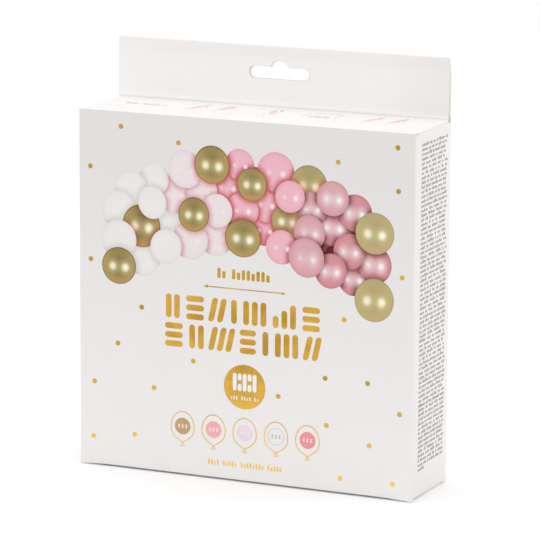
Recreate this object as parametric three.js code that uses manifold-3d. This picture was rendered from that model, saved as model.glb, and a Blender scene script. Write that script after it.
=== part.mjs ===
import * as THREE from "three";
import { mergeVertices } from "three/addons/utils/BufferGeometryUtils.js";
import Module from "manifold-3d";

// A retail carton of folding boxboard with a tuck-in lid and a double-ply hang tab.
// Millimetres, +Z up, the front wall faces -Y. The origin is on the floor, under the middle of the carton.

// Driving dimensions
const WIDTH = 175;
const DEPTH = 44;
const HEIGHT = 176; // floor to the top of the closed lid
const TAB_HEIGHT = 30; // hang tab above the lid
const BOARD = 0.5; // thickness of the board
const CREASE = 1; // outside radius of a folded crease
const GAP = 0.3; // clearance between pieces that would touch

// Hang tab: the back ply rises from the back wall and folds over at the top into the front ply
const TAB_WIDTH = 174.4;
const PLY_SETBACK = 2.3; // from the back wall's outside to the front ply's face
const FOLD_DROP = 12; // height over which the back ply curves forward to the fold
const FOLD_RADIUS = 0.3; // of the board's middle line, round the fold

// Hook slot, cut through both plies
const SLOT_X = -0.9;
const SLOT_ABOVE_LID = 16.6; // to the slot's middle
const FRONT_SLOT = { length: 32.4, height: 6.2, bumpHalf: 4.65, bumpHeight: 3.3 };
const BACK_SLOT = { length: 30.4, height: 5.6, bumpHalf: 4.3, bumpHeight: 3.1 };

// Lid and its tuck flap
const LID_WIDTH = 173.4;
const LID_CREASE = 0.8; // outside radius of the crease to the tuck flap
const TUCK_LENGTH = 13;
const TUCK_LEAN = THREE.MathUtils.degToRad(11); // inwards, so that it clears the front wall as the lid swings
const TUCK_CORNER = 9; // radius of a tuck flap's free corners

// Dust flaps under the lid, and the like pair inside the base
const FLAP_LENGTH = 38;
const FLAP_TUCK_EDGE = 17.4; // from the middle of the depth, on the side where the tuck flap goes in
const FLAP_PLAIN_EDGE = 20.4;
const FLAP_TUCK_CORNER = 8;
const FLAP_PLAIN_CORNER = 2;
const FLAP_TAPER = 1;

// Base: the bottom panel is creased to the front wall and tucks in behind the back wall
const BASE_WIDTH = 173.6;
const BASE_FLAP_Z = 1; // underside of the base's inner flaps, and lower end of the side walls
const BACK_WALL_FOOT = 0.3;
const BASE_TUCK_FACE = 1.2; // from the back wall's outside to the base's tuck flap
const BASE_TUCK_TOP = 14;

// Seam: the left wall's flap, glued inside the back wall
const SEAM_WIDTH = 12;
const SEAM_CLEAR = 3.5; // from the base and from the lid
const SEAM_TAPER = 5;

const ARC_STEPS = 6;
const CURVE_STEPS = 12;

const FRONT = -DEPTH / 2;
const BACK = DEPTH / 2;
const SIDE = WIDTH / 2;
const TOP = HEIGHT + TAB_HEIGHT;
const LID_UNDER = HEIGHT - BOARD;
const FLAP_TOP = LID_UNDER - GAP;
const PLY_FACE = BACK - PLY_SETBACK;

const wasm = await Module();
wasm.setup();

function solid(geometry) {
  const bare = geometry.clone();
  bare.deleteAttribute("normal");
  bare.deleteAttribute("uv");
  const merged = mergeVertices(bare, 1e-4);
  const mesh = new wasm.Mesh({
    numProp: 3,
    vertProperties: new Float32Array(merged.attributes.position.array),
    triVerts: new Uint32Array(merged.index.array),
  });
  return new wasm.Manifold(mesh);
}

function geometryOf(made) {
  const mesh = made.getMesh();
  const indexed = new THREE.BufferGeometry();
  indexed.setAttribute("position", new THREE.BufferAttribute(mesh.vertProperties, 3));
  indexed.setIndex(new THREE.BufferAttribute(mesh.triVerts, 1));
  const geometry = indexed.toNonIndexed();
  geometry.computeVertexNormals();
  return geometry;
}

// Where an outline's own x, y and depth point, for a solid pushed along each row axis
const BASES = {
  x: [new THREE.Vector3(0, 1, 0), new THREE.Vector3(0, 0, 1), new THREE.Vector3(1, 0, 0)],
  y: [new THREE.Vector3(-1, 0, 0), new THREE.Vector3(0, 0, 1), new THREE.Vector3(0, 1, 0)],
  z: [new THREE.Vector3(1, 0, 0), new THREE.Vector3(0, 1, 0), new THREE.Vector3(0, 0, 1)],
};

// An outline pushed along an axis. Along x it lies in y and z, along y in minus x and z, along z in x and y.
function pushed(shape, axis, from, to) {
  const options = { depth: to - from, bevelEnabled: false, curveSegments: ARC_STEPS };
  const geometry = new THREE.ExtrudeGeometry(shape, options);
  geometry.translate(0, 0, from);
  geometry.applyMatrix4(new THREE.Matrix4().makeBasis(...BASES[axis]));
  return solid(geometry);
}

function block(x, y, z) {
  const shape = new THREE.Shape();
  shape.moveTo(x[0], y[0]);
  shape.lineTo(x[1], y[0]);
  shape.lineTo(x[1], y[1]);
  shape.lineTo(x[0], y[1]);
  return pushed(shape, "z", z[0], z[1]);
}

function arc(centreY, centreZ, radius, fromDegrees, toDegrees) {
  const points = [];
  for (let i = 0; i <= ARC_STEPS; i++) {
    const angle = THREE.MathUtils.degToRad(fromDegrees + ((toDegrees - fromDegrees) * i) / ARC_STEPS);
    points.push(new THREE.Vector2(centreY + radius * Math.cos(angle), centreZ + radius * Math.sin(angle)));
  }
  return points;
}

// The outline of a folded strip of board whose middle line runs through the points
function folded(points) {
  const sides = [[], []];
  points.forEach((point, i) => {
    const before = points[Math.max(i - 1, 0)];
    const after = points[Math.min(i + 1, points.length - 1)];
    const arriving = i > 0 ? point.clone().sub(before).normalize() : after.clone().sub(point).normalize();
    const leaving = i < points.length - 1 ? after.clone().sub(point).normalize() : arriving;
    const along = arriving.clone().add(leaving).normalize();
    const reach = BOARD / 2 / Math.max(along.dot(arriving), 0.5);
    const across = new THREE.Vector2(-along.y, along.x).multiplyScalar(reach);
    sides[0].push(point.clone().add(across));
    sides[1].push(point.clone().sub(across));
  });
  return new THREE.Shape([...sides[0], ...sides[1].reverse()]);
}

function roundedRectangle(halfX, halfY, radius) {
  const path = new THREE.Path();
  path.absarc(halfX - radius, halfY - radius, radius, 0, Math.PI / 2);
  path.absarc(radius - halfX, halfY - radius, radius, Math.PI / 2, Math.PI);
  path.absarc(radius - halfX, radius - halfY, radius, Math.PI, 1.5 * Math.PI);
  path.absarc(halfX - radius, radius - halfY, radius, 1.5 * Math.PI, 2 * Math.PI);
  path.closePath();
  return path;
}

// A long slot with round ends and a round rise in the middle of its top, where a hook settles
function slotShape({ length, height, bumpHalf, bumpHeight }) {
  const half = height / 2;
  const end = length / 2 - half;
  const middle = HEIGHT + SLOT_ABOVE_LID;
  const radius = (bumpHalf ** 2 + bumpHeight ** 2) / (2 * bumpHeight);
  const centre = half + bumpHeight - radius;
  const spread = Math.asin(bumpHalf / radius);
  const shape = new THREE.Shape();
  shape.absarc(end - SLOT_X, middle, half, -Math.PI / 2, Math.PI / 2);
  shape.absarc(-SLOT_X, middle + centre, radius, Math.PI / 2 - spread, Math.PI / 2 + spread);
  shape.absarc(-end - SLOT_X, middle, half, Math.PI / 2, 1.5 * Math.PI);
  shape.closePath();
  return shape;
}

// What is cut away outside a rounded free corner, for a flap whose edge is at z and whose side is at x
function cornerCut(side, halfWidth, z, up, yFrom, yTo) {
  const inner = halfWidth - TUCK_CORNER;
  const centre = z - up * TUCK_CORNER;
  const shape = new THREE.Shape();
  for (let i = 0; i <= ARC_STEPS; i++) {
    const angle = ((Math.PI / 2) * i) / ARC_STEPS;
    const x = -side * (inner + TUCK_CORNER * Math.cos(angle));
    shape[i ? "lineTo" : "moveTo"](x, centre + up * TUCK_CORNER * Math.sin(angle));
  }
  shape.lineTo(-side * inner, z + up * BOARD * 4);
  shape.lineTo(-side * (halfWidth + 1), z + up * BOARD * 4);
  shape.lineTo(-side * (halfWidth + 1), centre);
  return pushed(shape, "y", yFrom, yTo);
}

function hangTab() {
  const backLine = BACK - BOARD / 2;
  const frontLine = PLY_FACE + BOARD / 2;
  const foldCentre = TOP - BOARD / 2 - FOLD_RADIUS;
  const foldBack = frontLine + 2 * FOLD_RADIUS;
  const points = [new THREE.Vector2(backLine, FLAP_TOP)];
  for (let i = 0; i <= CURVE_STEPS; i++) {
    const angle = ((Math.PI / 2) * i) / CURVE_STEPS;
    const y = foldBack + (backLine - foldBack) * Math.cos(angle);
    points.push(new THREE.Vector2(y, foldCentre - FOLD_DROP * (1 - Math.sin(angle))));
  }
  points.pop();
  points.push(...arc(frontLine + FOLD_RADIUS, foldCentre, FOLD_RADIUS, 0, 180));
  points.push(new THREE.Vector2(frontLine, LID_UNDER));
  let tab = pushed(folded(points), "x", -TAB_WIDTH / 2, TAB_WIDTH / 2);
  const between = frontLine + BOARD / 2 + GAP / 2;
  for (const side of [-1, 1]) {
    const taper = new THREE.Shape();
    taper.moveTo((-side * LID_WIDTH) / 2, LID_UNDER - 1);
    taper.lineTo((-side * TAB_WIDTH) / 2, TOP - 2);
    taper.lineTo(-side * (SIDE + 1), TOP - 2);
    taper.lineTo(-side * (SIDE + 1), LID_UNDER - 1);
    tab = tab.subtract(pushed(taper, "y", PLY_FACE - 1, between));
  }
  tab = tab.subtract(pushed(slotShape(FRONT_SLOT), "y", PLY_FACE - 1, between));
  return tab.subtract(pushed(slotShape(BACK_SLOT), "y", between, BACK + 1));
}

function walls() {
  const outline = new THREE.Shape(roundedRectangle(SIDE, BACK, CREASE).getPoints(ARC_STEPS));
  outline.holes.push(roundedRectangle(SIDE - BOARD, BACK - BOARD, CREASE - BOARD));
  const sleeve = pushed(outline, "z", BASE_FLAP_Z, FLAP_TOP);
  const flat = SIDE - CREASE;
  const frontEdge = block([-flat, flat], [FRONT, FRONT + BOARD], [FLAP_TOP - 1, HEIGHT - BOARD / 2]);
  const backFoot = block([-flat, flat], [BACK - BOARD, BACK], [BACK_WALL_FOOT, BASE_FLAP_Z + 1]);
  return sleeve.add(frontEdge).add(backFoot);
}

function seamFlap() {
  const low = BASE_FLAP_Z + SEAM_CLEAR;
  const high = FLAP_TOP - SEAM_CLEAR;
  const near = SIDE - BOARD;
  const far = near - SEAM_WIDTH;
  const shape = new THREE.Shape();
  shape.moveTo(near, low);
  shape.lineTo(near, high);
  shape.lineTo(far, high - SEAM_TAPER);
  shape.lineTo(far, low + SEAM_TAPER);
  return pushed(shape, "y", BACK - 2 * BOARD, BACK - BOARD / 2);
}

// The plan of a flap that is creased along x = 0 and reaches towards +x. Its tuck side is at low y.
function flapShape(start) {
  const shape = new THREE.Shape();
  shape.moveTo(start, -FLAP_TUCK_EDGE);
  const turn = FLAP_LENGTH - FLAP_TUCK_CORNER;
  shape.absarc(turn, FLAP_TUCK_CORNER - FLAP_TUCK_EDGE, FLAP_TUCK_CORNER, -Math.PI / 2, 0);
  shape.lineTo(FLAP_LENGTH, FLAP_PLAIN_EDGE - FLAP_TAPER - FLAP_PLAIN_CORNER);
  shape.lineTo(FLAP_LENGTH - FLAP_PLAIN_CORNER, FLAP_PLAIN_EDGE - FLAP_TAPER);
  shape.lineTo(start, FLAP_PLAIN_EDGE);
  return shape;
}

function base() {
  const middle = BOARD / 2;
  const bend = CREASE - middle;
  const wallLine = FRONT + middle;
  const tuckLine = BACK - BASE_TUCK_FACE - middle;
  const points = [
    new THREE.Vector2(wallLine, CREASE + 1),
    ...arc(FRONT + CREASE, CREASE, bend, 180, 270),
    ...arc(tuckLine - bend, CREASE, bend, 270, 360),
    new THREE.Vector2(tuckLine, BASE_TUCK_TOP),
  ];
  let made = pushed(folded(points), "x", -BASE_WIDTH / 2, BASE_WIDTH / 2);
  for (const side of [-1, 1]) {
    made = made.subtract(cornerCut(side, BASE_WIDTH / 2, BASE_TUCK_TOP, 1, tuckLine - 1, BACK));
    const flap = pushed(flapShape(-BOARD / 2), "z", BASE_FLAP_Z, BASE_FLAP_Z + BOARD);
    const turned = side > 0 ? flap.rotate([0, 0, 180]) : flap.mirror([0, 1, 0]);
    made = made.add(turned.translate([side * (SIDE - BOARD), 0, 0]));
  }
  return made;
}

function cartonBody() {
  return walls().add(seamFlap()).add(hangTab()).add(base());
}

function lid() {
  const line = HEIGHT - BOARD / 2;
  const bend = LID_CREASE - BOARD / 2;
  const centreY = FRONT + BOARD + GAP + LID_CREASE;
  const centreZ = HEIGHT - LID_CREASE;
  const turn = 180 + THREE.MathUtils.radToDeg(TUCK_LEAN);
  const round = arc(centreY, centreZ, bend, 90, turn);
  const down = new THREE.Vector2(Math.sin(TUCK_LEAN), -Math.cos(TUCK_LEAN)).multiplyScalar(TUCK_LENGTH);
  const tip = round[round.length - 1].clone().add(down);
  const points = [new THREE.Vector2(PLY_FACE - GAP, line), ...round, tip];
  let made = pushed(folded(points), "x", -LID_WIDTH / 2, LID_WIDTH / 2);
  for (const side of [-1, 1]) {
    made = made.subtract(cornerCut(side, LID_WIDTH / 2, tip.y, -1, FRONT, tip.x + 1));
  }
  return made;
}

function dustFlap(side) {
  const flap = pushed(flapShape(0), "z", FLAP_TOP - BOARD, FLAP_TOP);
  const turned = side > 0 ? flap.mirror([1, 0, 0]) : flap;
  return turned.translate([side * (SIDE - BOARD - GAP), 0, 0]);
}

const board = new THREE.MeshStandardMaterial({ color: 0xf2efed, roughness: 0.45, metalness: 0 });
const flapBoard = new THREE.MeshStandardMaterial({ color: 0xece7e0, roughness: 0.7, metalness: 0 });

function part(name, made, material) {
  const mesh = new THREE.Mesh(geometryOf(made), material);
  mesh.name = name;
  return mesh;
}

const group = new THREE.Group();
group.add(part("carton_body", cartonBody(), board));
group.add(part("lid", lid(), board));
group.add(part("dust_flap_right", dustFlap(1), flapBoard));
group.add(part("dust_flap_left", dustFlap(-1), flapBoard));

export default group;
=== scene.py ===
"""A white retail carton with a tuck-in lid and a double-ply hang tab.

The carton is folded from coated board with raw cut edges, and carries printed colour and gold foil.
Pieces are shaped in millimetres, and each mesh is brought to metres when its piece is finished.
"""

import logging
import math
import random
from collections.abc import Callable, Iterable, Sequence
from dataclasses import dataclass
from enum import Enum

import bmesh
import bpy
from mathutils import Matrix, Quaternion, Vector


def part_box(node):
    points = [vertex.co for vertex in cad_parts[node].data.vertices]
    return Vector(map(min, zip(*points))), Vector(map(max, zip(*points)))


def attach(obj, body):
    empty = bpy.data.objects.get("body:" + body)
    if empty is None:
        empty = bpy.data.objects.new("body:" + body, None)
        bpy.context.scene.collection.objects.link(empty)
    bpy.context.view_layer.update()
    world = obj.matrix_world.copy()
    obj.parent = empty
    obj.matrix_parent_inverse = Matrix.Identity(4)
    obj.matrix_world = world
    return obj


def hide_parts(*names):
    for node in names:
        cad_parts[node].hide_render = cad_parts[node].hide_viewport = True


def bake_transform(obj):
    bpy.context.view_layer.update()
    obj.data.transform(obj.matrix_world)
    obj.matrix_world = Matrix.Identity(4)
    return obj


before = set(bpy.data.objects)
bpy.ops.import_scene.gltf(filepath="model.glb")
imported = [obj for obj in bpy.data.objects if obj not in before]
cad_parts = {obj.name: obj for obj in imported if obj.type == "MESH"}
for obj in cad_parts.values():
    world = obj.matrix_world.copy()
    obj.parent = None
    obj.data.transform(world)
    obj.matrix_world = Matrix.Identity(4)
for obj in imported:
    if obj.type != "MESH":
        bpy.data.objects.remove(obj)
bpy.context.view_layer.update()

MM = 0.001
REACH = 0.05
FINE = 0.01
INK_LIFT = 0.02
TICK_LIFT = 0.035
STROKE_LIFT = 0.045
PRINT_WHITE = (0.82, 0.81, 0.805)
Finish = bpy.types.Material
Pair = tuple[float, float]
Triple = tuple[float, float, float]
Colour = Triple
log = logging.getLogger("carton")


class Element(Enum):
    """What an edit-mode selection is made of."""

    VERTEX = "VERT"
    EDGE = "EDGE"
    FACE = "FACE"


class Side(Enum):
    """The left and right of the carton, as signs along X."""

    LEFT = -1
    RIGHT = 1


def near(value: float, target: float, reach: float = REACH) -> bool:
    """Tell whether two lengths in millimetres are the same but for a small error."""
    return abs(value - target) < reach


def on_long_edge(at: Vector, y: float, z: float) -> bool:
    """Tell whether an edge's middle is that of the edge along the carton's width at a depth and a height."""
    return near(at.z, z) and near(at.y, y, FINE) and abs(at.x) < 1


def smooth(value: float) -> float:
    """Ease from 0 to 1 as the value goes from 0 to 1."""
    held = min(max(value, 0.0), 1.0)
    return held * held * (3 - 2 * held)


def add_object(name: str, data: bpy.types.ID) -> bpy.types.Object:
    """Add an object to the scene and return it."""
    item = bpy.data.objects.new(name, data)
    bpy.context.scene.collection.objects.link(item)
    return item


def edit_all() -> None:
    """Go to edit mode with the whole of the active mesh selected."""
    bpy.ops.object.mode_set(mode="EDIT")
    bpy.ops.mesh.select_all(action="SELECT")


def clear_selection() -> None:
    """Go back to object mode with nothing selected, before a new primitive is added."""
    if bpy.context.object and bpy.context.object.mode != "OBJECT":
        bpy.ops.object.mode_set(mode="OBJECT")
    bpy.ops.object.select_all(action="DESELECT")


def arc(centre: Pair, radius: float, start: float, stop: float, steps: int) -> list[Vector]:
    """Make the points of a round bend of the board's middle line, across and up, from angles in degrees."""
    angles = [math.radians(start + (stop - start) * i / steps) for i in range(steps + 1)]
    return [Vector((centre[0] + radius * math.cos(a), centre[1] + radius * math.sin(a))) for a in angles]


def lengthwise(points: Iterable[Vector]) -> list[Vector]:
    """Stand the points of a bend up across the carton's depth, in Y and Z."""
    return [Vector((0, point.x, point.y)) for point in points]


def crosswise(points: Iterable[Vector], sign: int) -> list[Vector]:
    """Stand the points of a bend up across the carton's width, in X and Z, to the right or the left."""
    return [Vector((sign * point.x, 0, point.y)) for point in points]


@dataclass(frozen=True)
class CartonSizes:
    """The carton's sizes in millimetres, taken from the frame or usual for folding board."""

    width: float
    depth: float
    height: float
    top: float
    lid_width: float
    ply_face: float
    tab_width: float = 174.4
    board: float = 0.5
    crease: float = 0.75
    joint_gap: float = 0.3
    shoulder: float = 174.1
    ply_foot: float = 176.6
    fold_drop: float = 12.0
    fold_radius: float = 0.3
    flap_top: float = 175.2
    flap_reach: float = 38.0
    flap_tuck_edge: float = 17.4
    flap_plain_edge: float = 20.4
    flap_tuck_corner: float = 8.0
    flap_plain_corner: float = 2.0
    tuck_corner: float = 9.0
    corner_steps: int = 8
    slot_x: float = -0.9
    slot_z: float = 192.6
    bow: float = 0.22
    side_bow_share: float = 0.5
    flat_edge: float = 1.0

    @classmethod
    def from_frame(cls) -> "CartonSizes":
        """Read the carton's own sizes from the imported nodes.

        Returns:
            The sizes.
        """
        low, high = (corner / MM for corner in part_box("carton_body"))
        lid_low, lid_high = (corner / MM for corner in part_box("lid"))
        return cls(
            width=round(high.x - low.x, 2),
            depth=round(high.y - low.y, 2),
            height=round(lid_high.z, 2),
            top=round(high.z, 1),
            lid_width=round(lid_high.x - lid_low.x, 2),
            ply_face=round(lid_high.y, 2) + cls.joint_gap,
        )

    @property
    def side(self) -> float:
        """Half the width over the outside."""
        return self.width / 2

    @property
    def back(self) -> float:
        """Half the depth over the outside."""
        return self.depth / 2

    @property
    def half_board(self) -> float:
        """From a face of the board to its middle line."""
        return self.board / 2

    @property
    def line_x(self) -> float:
        """The middle line of the side walls."""
        return self.side - self.half_board

    @property
    def line_y(self) -> float:
        """The middle line of the front and back walls."""
        return self.back - self.half_board

    @property
    def ply_line(self) -> float:
        """The middle line of the tab's front ply, where it meets the lid."""
        return self.ply_face + self.half_board

    def sag(self, across: float, up: float) -> float:
        """How far the middle of a large wall draws in from flat.

        Args:
            across: place across the wall, from its middle.
            up: height above the floor.

        Returns:
            The inward distance, which is nothing at the wall's edges.
        """
        run = min(abs(across) / (self.side - self.flat_edge), 1)
        rise = min(abs(2 * up / self.height - 1), 1)
        return self.bow * (1 - run**2) * (1 - rise**2)

    def side_sag(self, across: float, up: float) -> float:
        """How far a side wall draws in, which is less than a large wall."""
        return self.side_bow_share * self.sag(across * self.width / self.depth, up)


class Nodes:
    """A short way to lay out a material's nodes."""

    noise_low = 0.35
    noise_high = 0.65

    def __init__(self, name: str) -> None:
        """Start a material whose only node is its output.

        Args:
            name: the material's name.
        """
        self.material = bpy.data.materials.new(name)
        self.material.use_nodes = True
        self.tree = self.material.node_tree
        self.tree.nodes.clear()
        self.output = self.tree.nodes.new("ShaderNodeOutputMaterial")

    def add(self, kind: str, inputs: dict | None = None, **settings: object) -> bpy.types.Node:
        """Add a node, and set or link its inputs.

        Args:
            kind: the node's type, without the ShaderNode in front.
            inputs: a value or an output socket for each input, by name or number.
            settings: the node's own properties.

        Returns:
            The node.
        """
        node = self.tree.nodes.new("ShaderNode" + kind)
        for key, value in settings.items():
            setattr(node, key, value)
        for key, value in (inputs or {}).items():
            if isinstance(value, bpy.types.NodeSocket):
                self.tree.links.new(value, node.inputs[key])
            else:
                node.inputs[key].default_value = value
        return node

    def maths(self, operation: str, first: object, second: object = 0.0, clamp: bool = False) -> object:
        """Add one step of arithmetic and return its output socket."""
        node = self.add("Math", {0: first, 1: second}, operation=operation, use_clamp=clamp)
        return node.outputs[0]

    def place(self) -> object:
        """Return the place on the piece, in metres, as a socket."""
        return self.add("TexCoord").outputs["Object"]

    def split(self, vector: object) -> Sequence[object]:
        """Part a place or a direction into the sockets of its X, Y and Z."""
        return self.add("SeparateXYZ", {0: vector}).outputs[:3]

    def noise(self, scale: float, detail: float = 3.0) -> object:
        """Add a noise over the piece, with so many spots to the metre, and return its socket."""
        inputs = {"Vector": self.place(), "Scale": scale, "Detail": detail}
        return self.add("TexNoise", inputs).outputs["Fac"]

    def grade(
        self,
        value: object,
        start: float,
        stop: float,
        low: float = 0.0,
        high: float = 1.0,
        eased: bool = False,
    ) -> object:
        """Bring the run of a value between two stops to a range, and hold it past them.

        Args:
            value: the value's socket.
            start: the first stop.
            stop: the second stop.
            low: the result at the first.
            high: the result at the second.
            eased: whether it turns gently.

        Returns:
            The result's socket.
        """
        inputs = {"Value": value, 1: start, 2: stop, 3: low, 4: high}
        kind = "SMOOTHSTEP" if eased else "LINEAR"
        return self.add("MapRange", inputs, interpolation_type=kind).outputs[0]

    def spread(self, value: object, low: float = 0.0, high: float = 1.0) -> object:
        """Bring the middle of a noise to a range and return the socket."""
        return self.grade(value, self.noise_low, self.noise_high, low, high)

    def multiply(self, first: object, second: object) -> object:
        """Multiply two values and return the socket."""
        return self.maths("MULTIPLY", first, second)

    def mix(self, amount: object, first: object, second: object, blend: str = "MIX") -> object:
        """Mix two colours and return the socket.

        Args:
            amount: how much of the second colour there is.
            first: a colour or a socket.
            second: a colour or a socket.
            blend: how they are mixed.

        Returns:
            The mixed colour's socket.
        """
        colours = {6: with_alpha(first), 7: with_alpha(second), 0: amount}
        node = self.add("Mix", colours, data_type="RGBA", blend_type=blend)
        return node.outputs[2]

    def ramp(self, value: object, stops: Sequence[tuple[float, Colour]]) -> object:
        """Turn a value into a colour by stops and return the socket.

        Args:
            value: the value's socket.
            stops: each stop's place and colour.

        Returns:
            The colour's socket.
        """
        node = self.add("ValToRGB", {"Fac": value})
        band = node.color_ramp.elements
        while len(band) < len(stops):
            band.new(0.5)
        for stop, (at, colour) in zip(band, stops):
            stop.position = at
            stop.color = with_alpha(colour)
        return node.outputs["Color"]

    def bump(self, height: object, strength: float, distance: float) -> object:
        """Turn a height into a normal and return the socket."""
        inputs = {"Height": height, "Strength": strength, "Distance": distance}
        return self.add("Bump", inputs).outputs[0]

    def surface(self, inputs: dict) -> Finish:
        """Close the material with one shader.

        Args:
            inputs: the shader's inputs.

        Returns:
            The material.
        """
        shader = self.add("BsdfPrincipled", inputs)
        self.tree.links.new(shader.outputs[0], self.output.inputs[0])
        return self.material


def with_alpha(colour: object) -> object:
    """Give a plain colour its alpha, and leave a socket as it is."""
    return (*colour, 1.0) if isinstance(colour, tuple) else colour


def varnish(nodes: Nodes, patches: float = 300, smoothest: float = 0.36, roughest: float = 0.47) -> object:
    """Make the uneven roughness of the satin varnish and return its socket."""
    return nodes.spread(nodes.noise(patches), smoothest, roughest)


def board_grain(nodes: Nodes, grains: float = 1400, detail: float = 4) -> object:
    """Make the fine grain of the coated board and return its socket."""
    return nodes.noise(grains, detail)


def varnished_print(nodes: Nodes, colour: object) -> Finish:
    """Close the material of a print that lies under the varnish, from its colour socket."""
    grain = nodes.bump(board_grain(nodes), strength=0.2, distance=0.00005)
    return nodes.surface({"Base Color": colour, "Roughness": varnish(nodes), "Normal": grain})


@dataclass(frozen=True)
class CoatedBoard:
    """White clay-coated board with a satin varnish, and painted shade and painted light in its colour.

    The painted shade lies on the front wall and on the right wall, and painted light and shade lie on the
    hang tab. Places are in metres.
    """

    name: str = "coated_board"
    white: Colour = (0.865, 0.848, 0.840)
    shade: Colour = (0.85, 0.831, 0.822)
    # Painted shade of the front wall, strongest toward its top, also laid toward the tab's right end.
    tone: Colour = (0.715, 0.695, 0.688)
    # Painted shade of the right wall, stronger toward its front.
    right_wall_painted_shade: Colour = (0.815, 0.782, 0.760)
    # Painted light at the tab's foot; the next colour is painted shade toward its top.
    tab_foot_painted_light: Colour = (0.908, 0.900, 0.899)
    tab_top_painted_shade: Colour = (0.838, 0.812, 0.793)
    front_from: float = -0.0212
    painted_shade_top: float = 0.150
    painted_shade_least: float = 0.2
    right_from: float = 0.0868
    side_edge: float = 0.022
    side_least: float = 0.4
    tab_from: float = 0.1775
    tab_to: float = 0.206
    tab_share: float = 0.85
    end_from: float = 0.055
    end_to: float = 0.086
    end_share: float = 0.55
    mottle_scale: float = 45
    swell_scale: float = 30
    grain_share: float = 0.1
    ior: float = 1.45

    def _paint_light_and_shade(self, nodes: Nodes, bare: object) -> object:
        """Lay the painted shade and light over the bare board: the front wall's, then the right wall's, then
        the tab's.

        Args:
            nodes: the material.
            bare: the bare board's colour socket.

        Returns:
            The toned colour's socket.
        """
        across, back, up = nodes.split(nodes.place())
        # Painted shade on the front wall: a fifth of it at the floor, all of it from 150 mm up.
        on_front = nodes.maths("LESS_THAN", back, self.front_from)
        rise = nodes.grade(up, 0.0, self.painted_shade_top, self.painted_shade_least)
        front = nodes.mix(nodes.multiply(on_front, rise), bare, self.tone)
        # Painted shade on the right wall, stronger toward its front.
        on_right = nodes.maths("GREATER_THAN", across, self.right_from)
        depth = nodes.grade(back, self.side_edge, -self.side_edge, self.side_least)
        walls = nodes.mix(nodes.multiply(on_right, depth), front, self.right_wall_painted_shade)
        # Painted light at the tab's foot and painted shade toward its top, then painted shade toward its
        # right end.
        tab = nodes.mix(nodes.grade(up, self.tab_from, self.tab_to), self.tab_foot_painted_light, self.tab_top_painted_shade)
        right_end = nodes.grade(across, self.end_from, self.end_to, 0.0, self.end_share)
        shaded_tab = nodes.mix(right_end, tab, self.tone)
        on_tab = nodes.maths("GREATER_THAN", up, self.tab_from)
        return nodes.mix(nodes.multiply(on_tab, self.tab_share), walls, shaded_tab)

    def material(self) -> Finish:
        """Make the board's faint mottle, its painted shade and light, its varnish and its fine grain.

        Returns:
            The material.
        """
        nodes = Nodes(self.name)
        mottle = nodes.spread(nodes.noise(self.mottle_scale))
        swell = nodes.noise(self.swell_scale, 1)
        height = nodes.maths("ADD", nodes.multiply(board_grain(nodes), self.grain_share), swell)
        colour = self._paint_light_and_shade(nodes, nodes.mix(mottle, self.white, self.shade))
        normal = nodes.bump(height, strength=0.35, distance=0.00012)
        return nodes.surface(
            {"Base Color": colour, "Roughness": varnish(nodes), "IOR": self.ior, "Normal": normal}
        )


@dataclass(frozen=True)
class CutEdge:
    """The raw edge of the board, cream, with the layers of its pulp."""

    name: str = "cut_edge"
    light: Colour = (0.95, 0.925, 0.88)
    dark: Colour = (0.89, 0.855, 0.79)
    fibre_scale: float = 2600
    roughness: float = 0.9

    def material(self) -> Finish:
        """Make the fibres of the cut edge.

        Returns:
            The material.
        """
        nodes = Nodes(self.name)
        fibre = nodes.noise(self.fibre_scale, 5)
        colour = nodes.mix(nodes.spread(fibre), self.light, self.dark)
        normal = nodes.bump(fibre, strength=0.6, distance=0.00005)
        return nodes.surface({"Base Color": colour, "Roughness": self.roughness, "Normal": normal})


@dataclass(frozen=True)
class PlainBoard:
    """The uncoated inner side of the board, with flecks of pulp."""

    name: str = "plain_board"
    light: Colour = (0.89, 0.86, 0.80)
    dark: Colour = (0.86, 0.82, 0.75)
    fleck: Colour = (0.66, 0.61, 0.53)
    cloud_scale: float = 120
    fleck_scale: float = 1500
    fleck_above: float = 0.68
    fleck_share: float = 0.5
    fibre_scale: float = 1900
    roughness: float = 0.85

    def material(self) -> Finish:
        """Make the clouds and flecks of the inner side.

        Returns:
            The material.
        """
        nodes = Nodes(self.name)
        cloud = nodes.mix(nodes.spread(nodes.noise(self.cloud_scale)), self.light, self.dark)
        speck = nodes.maths("GREATER_THAN", nodes.noise(self.fleck_scale, 2), self.fleck_above)
        colour = nodes.mix(nodes.multiply(speck, self.fleck_share), cloud, self.fleck)
        normal = nodes.bump(nodes.noise(self.fibre_scale, 5), strength=0.6, distance=0.00006)
        return nodes.surface({"Base Color": colour, "Roughness": self.roughness, "Normal": normal})


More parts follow.
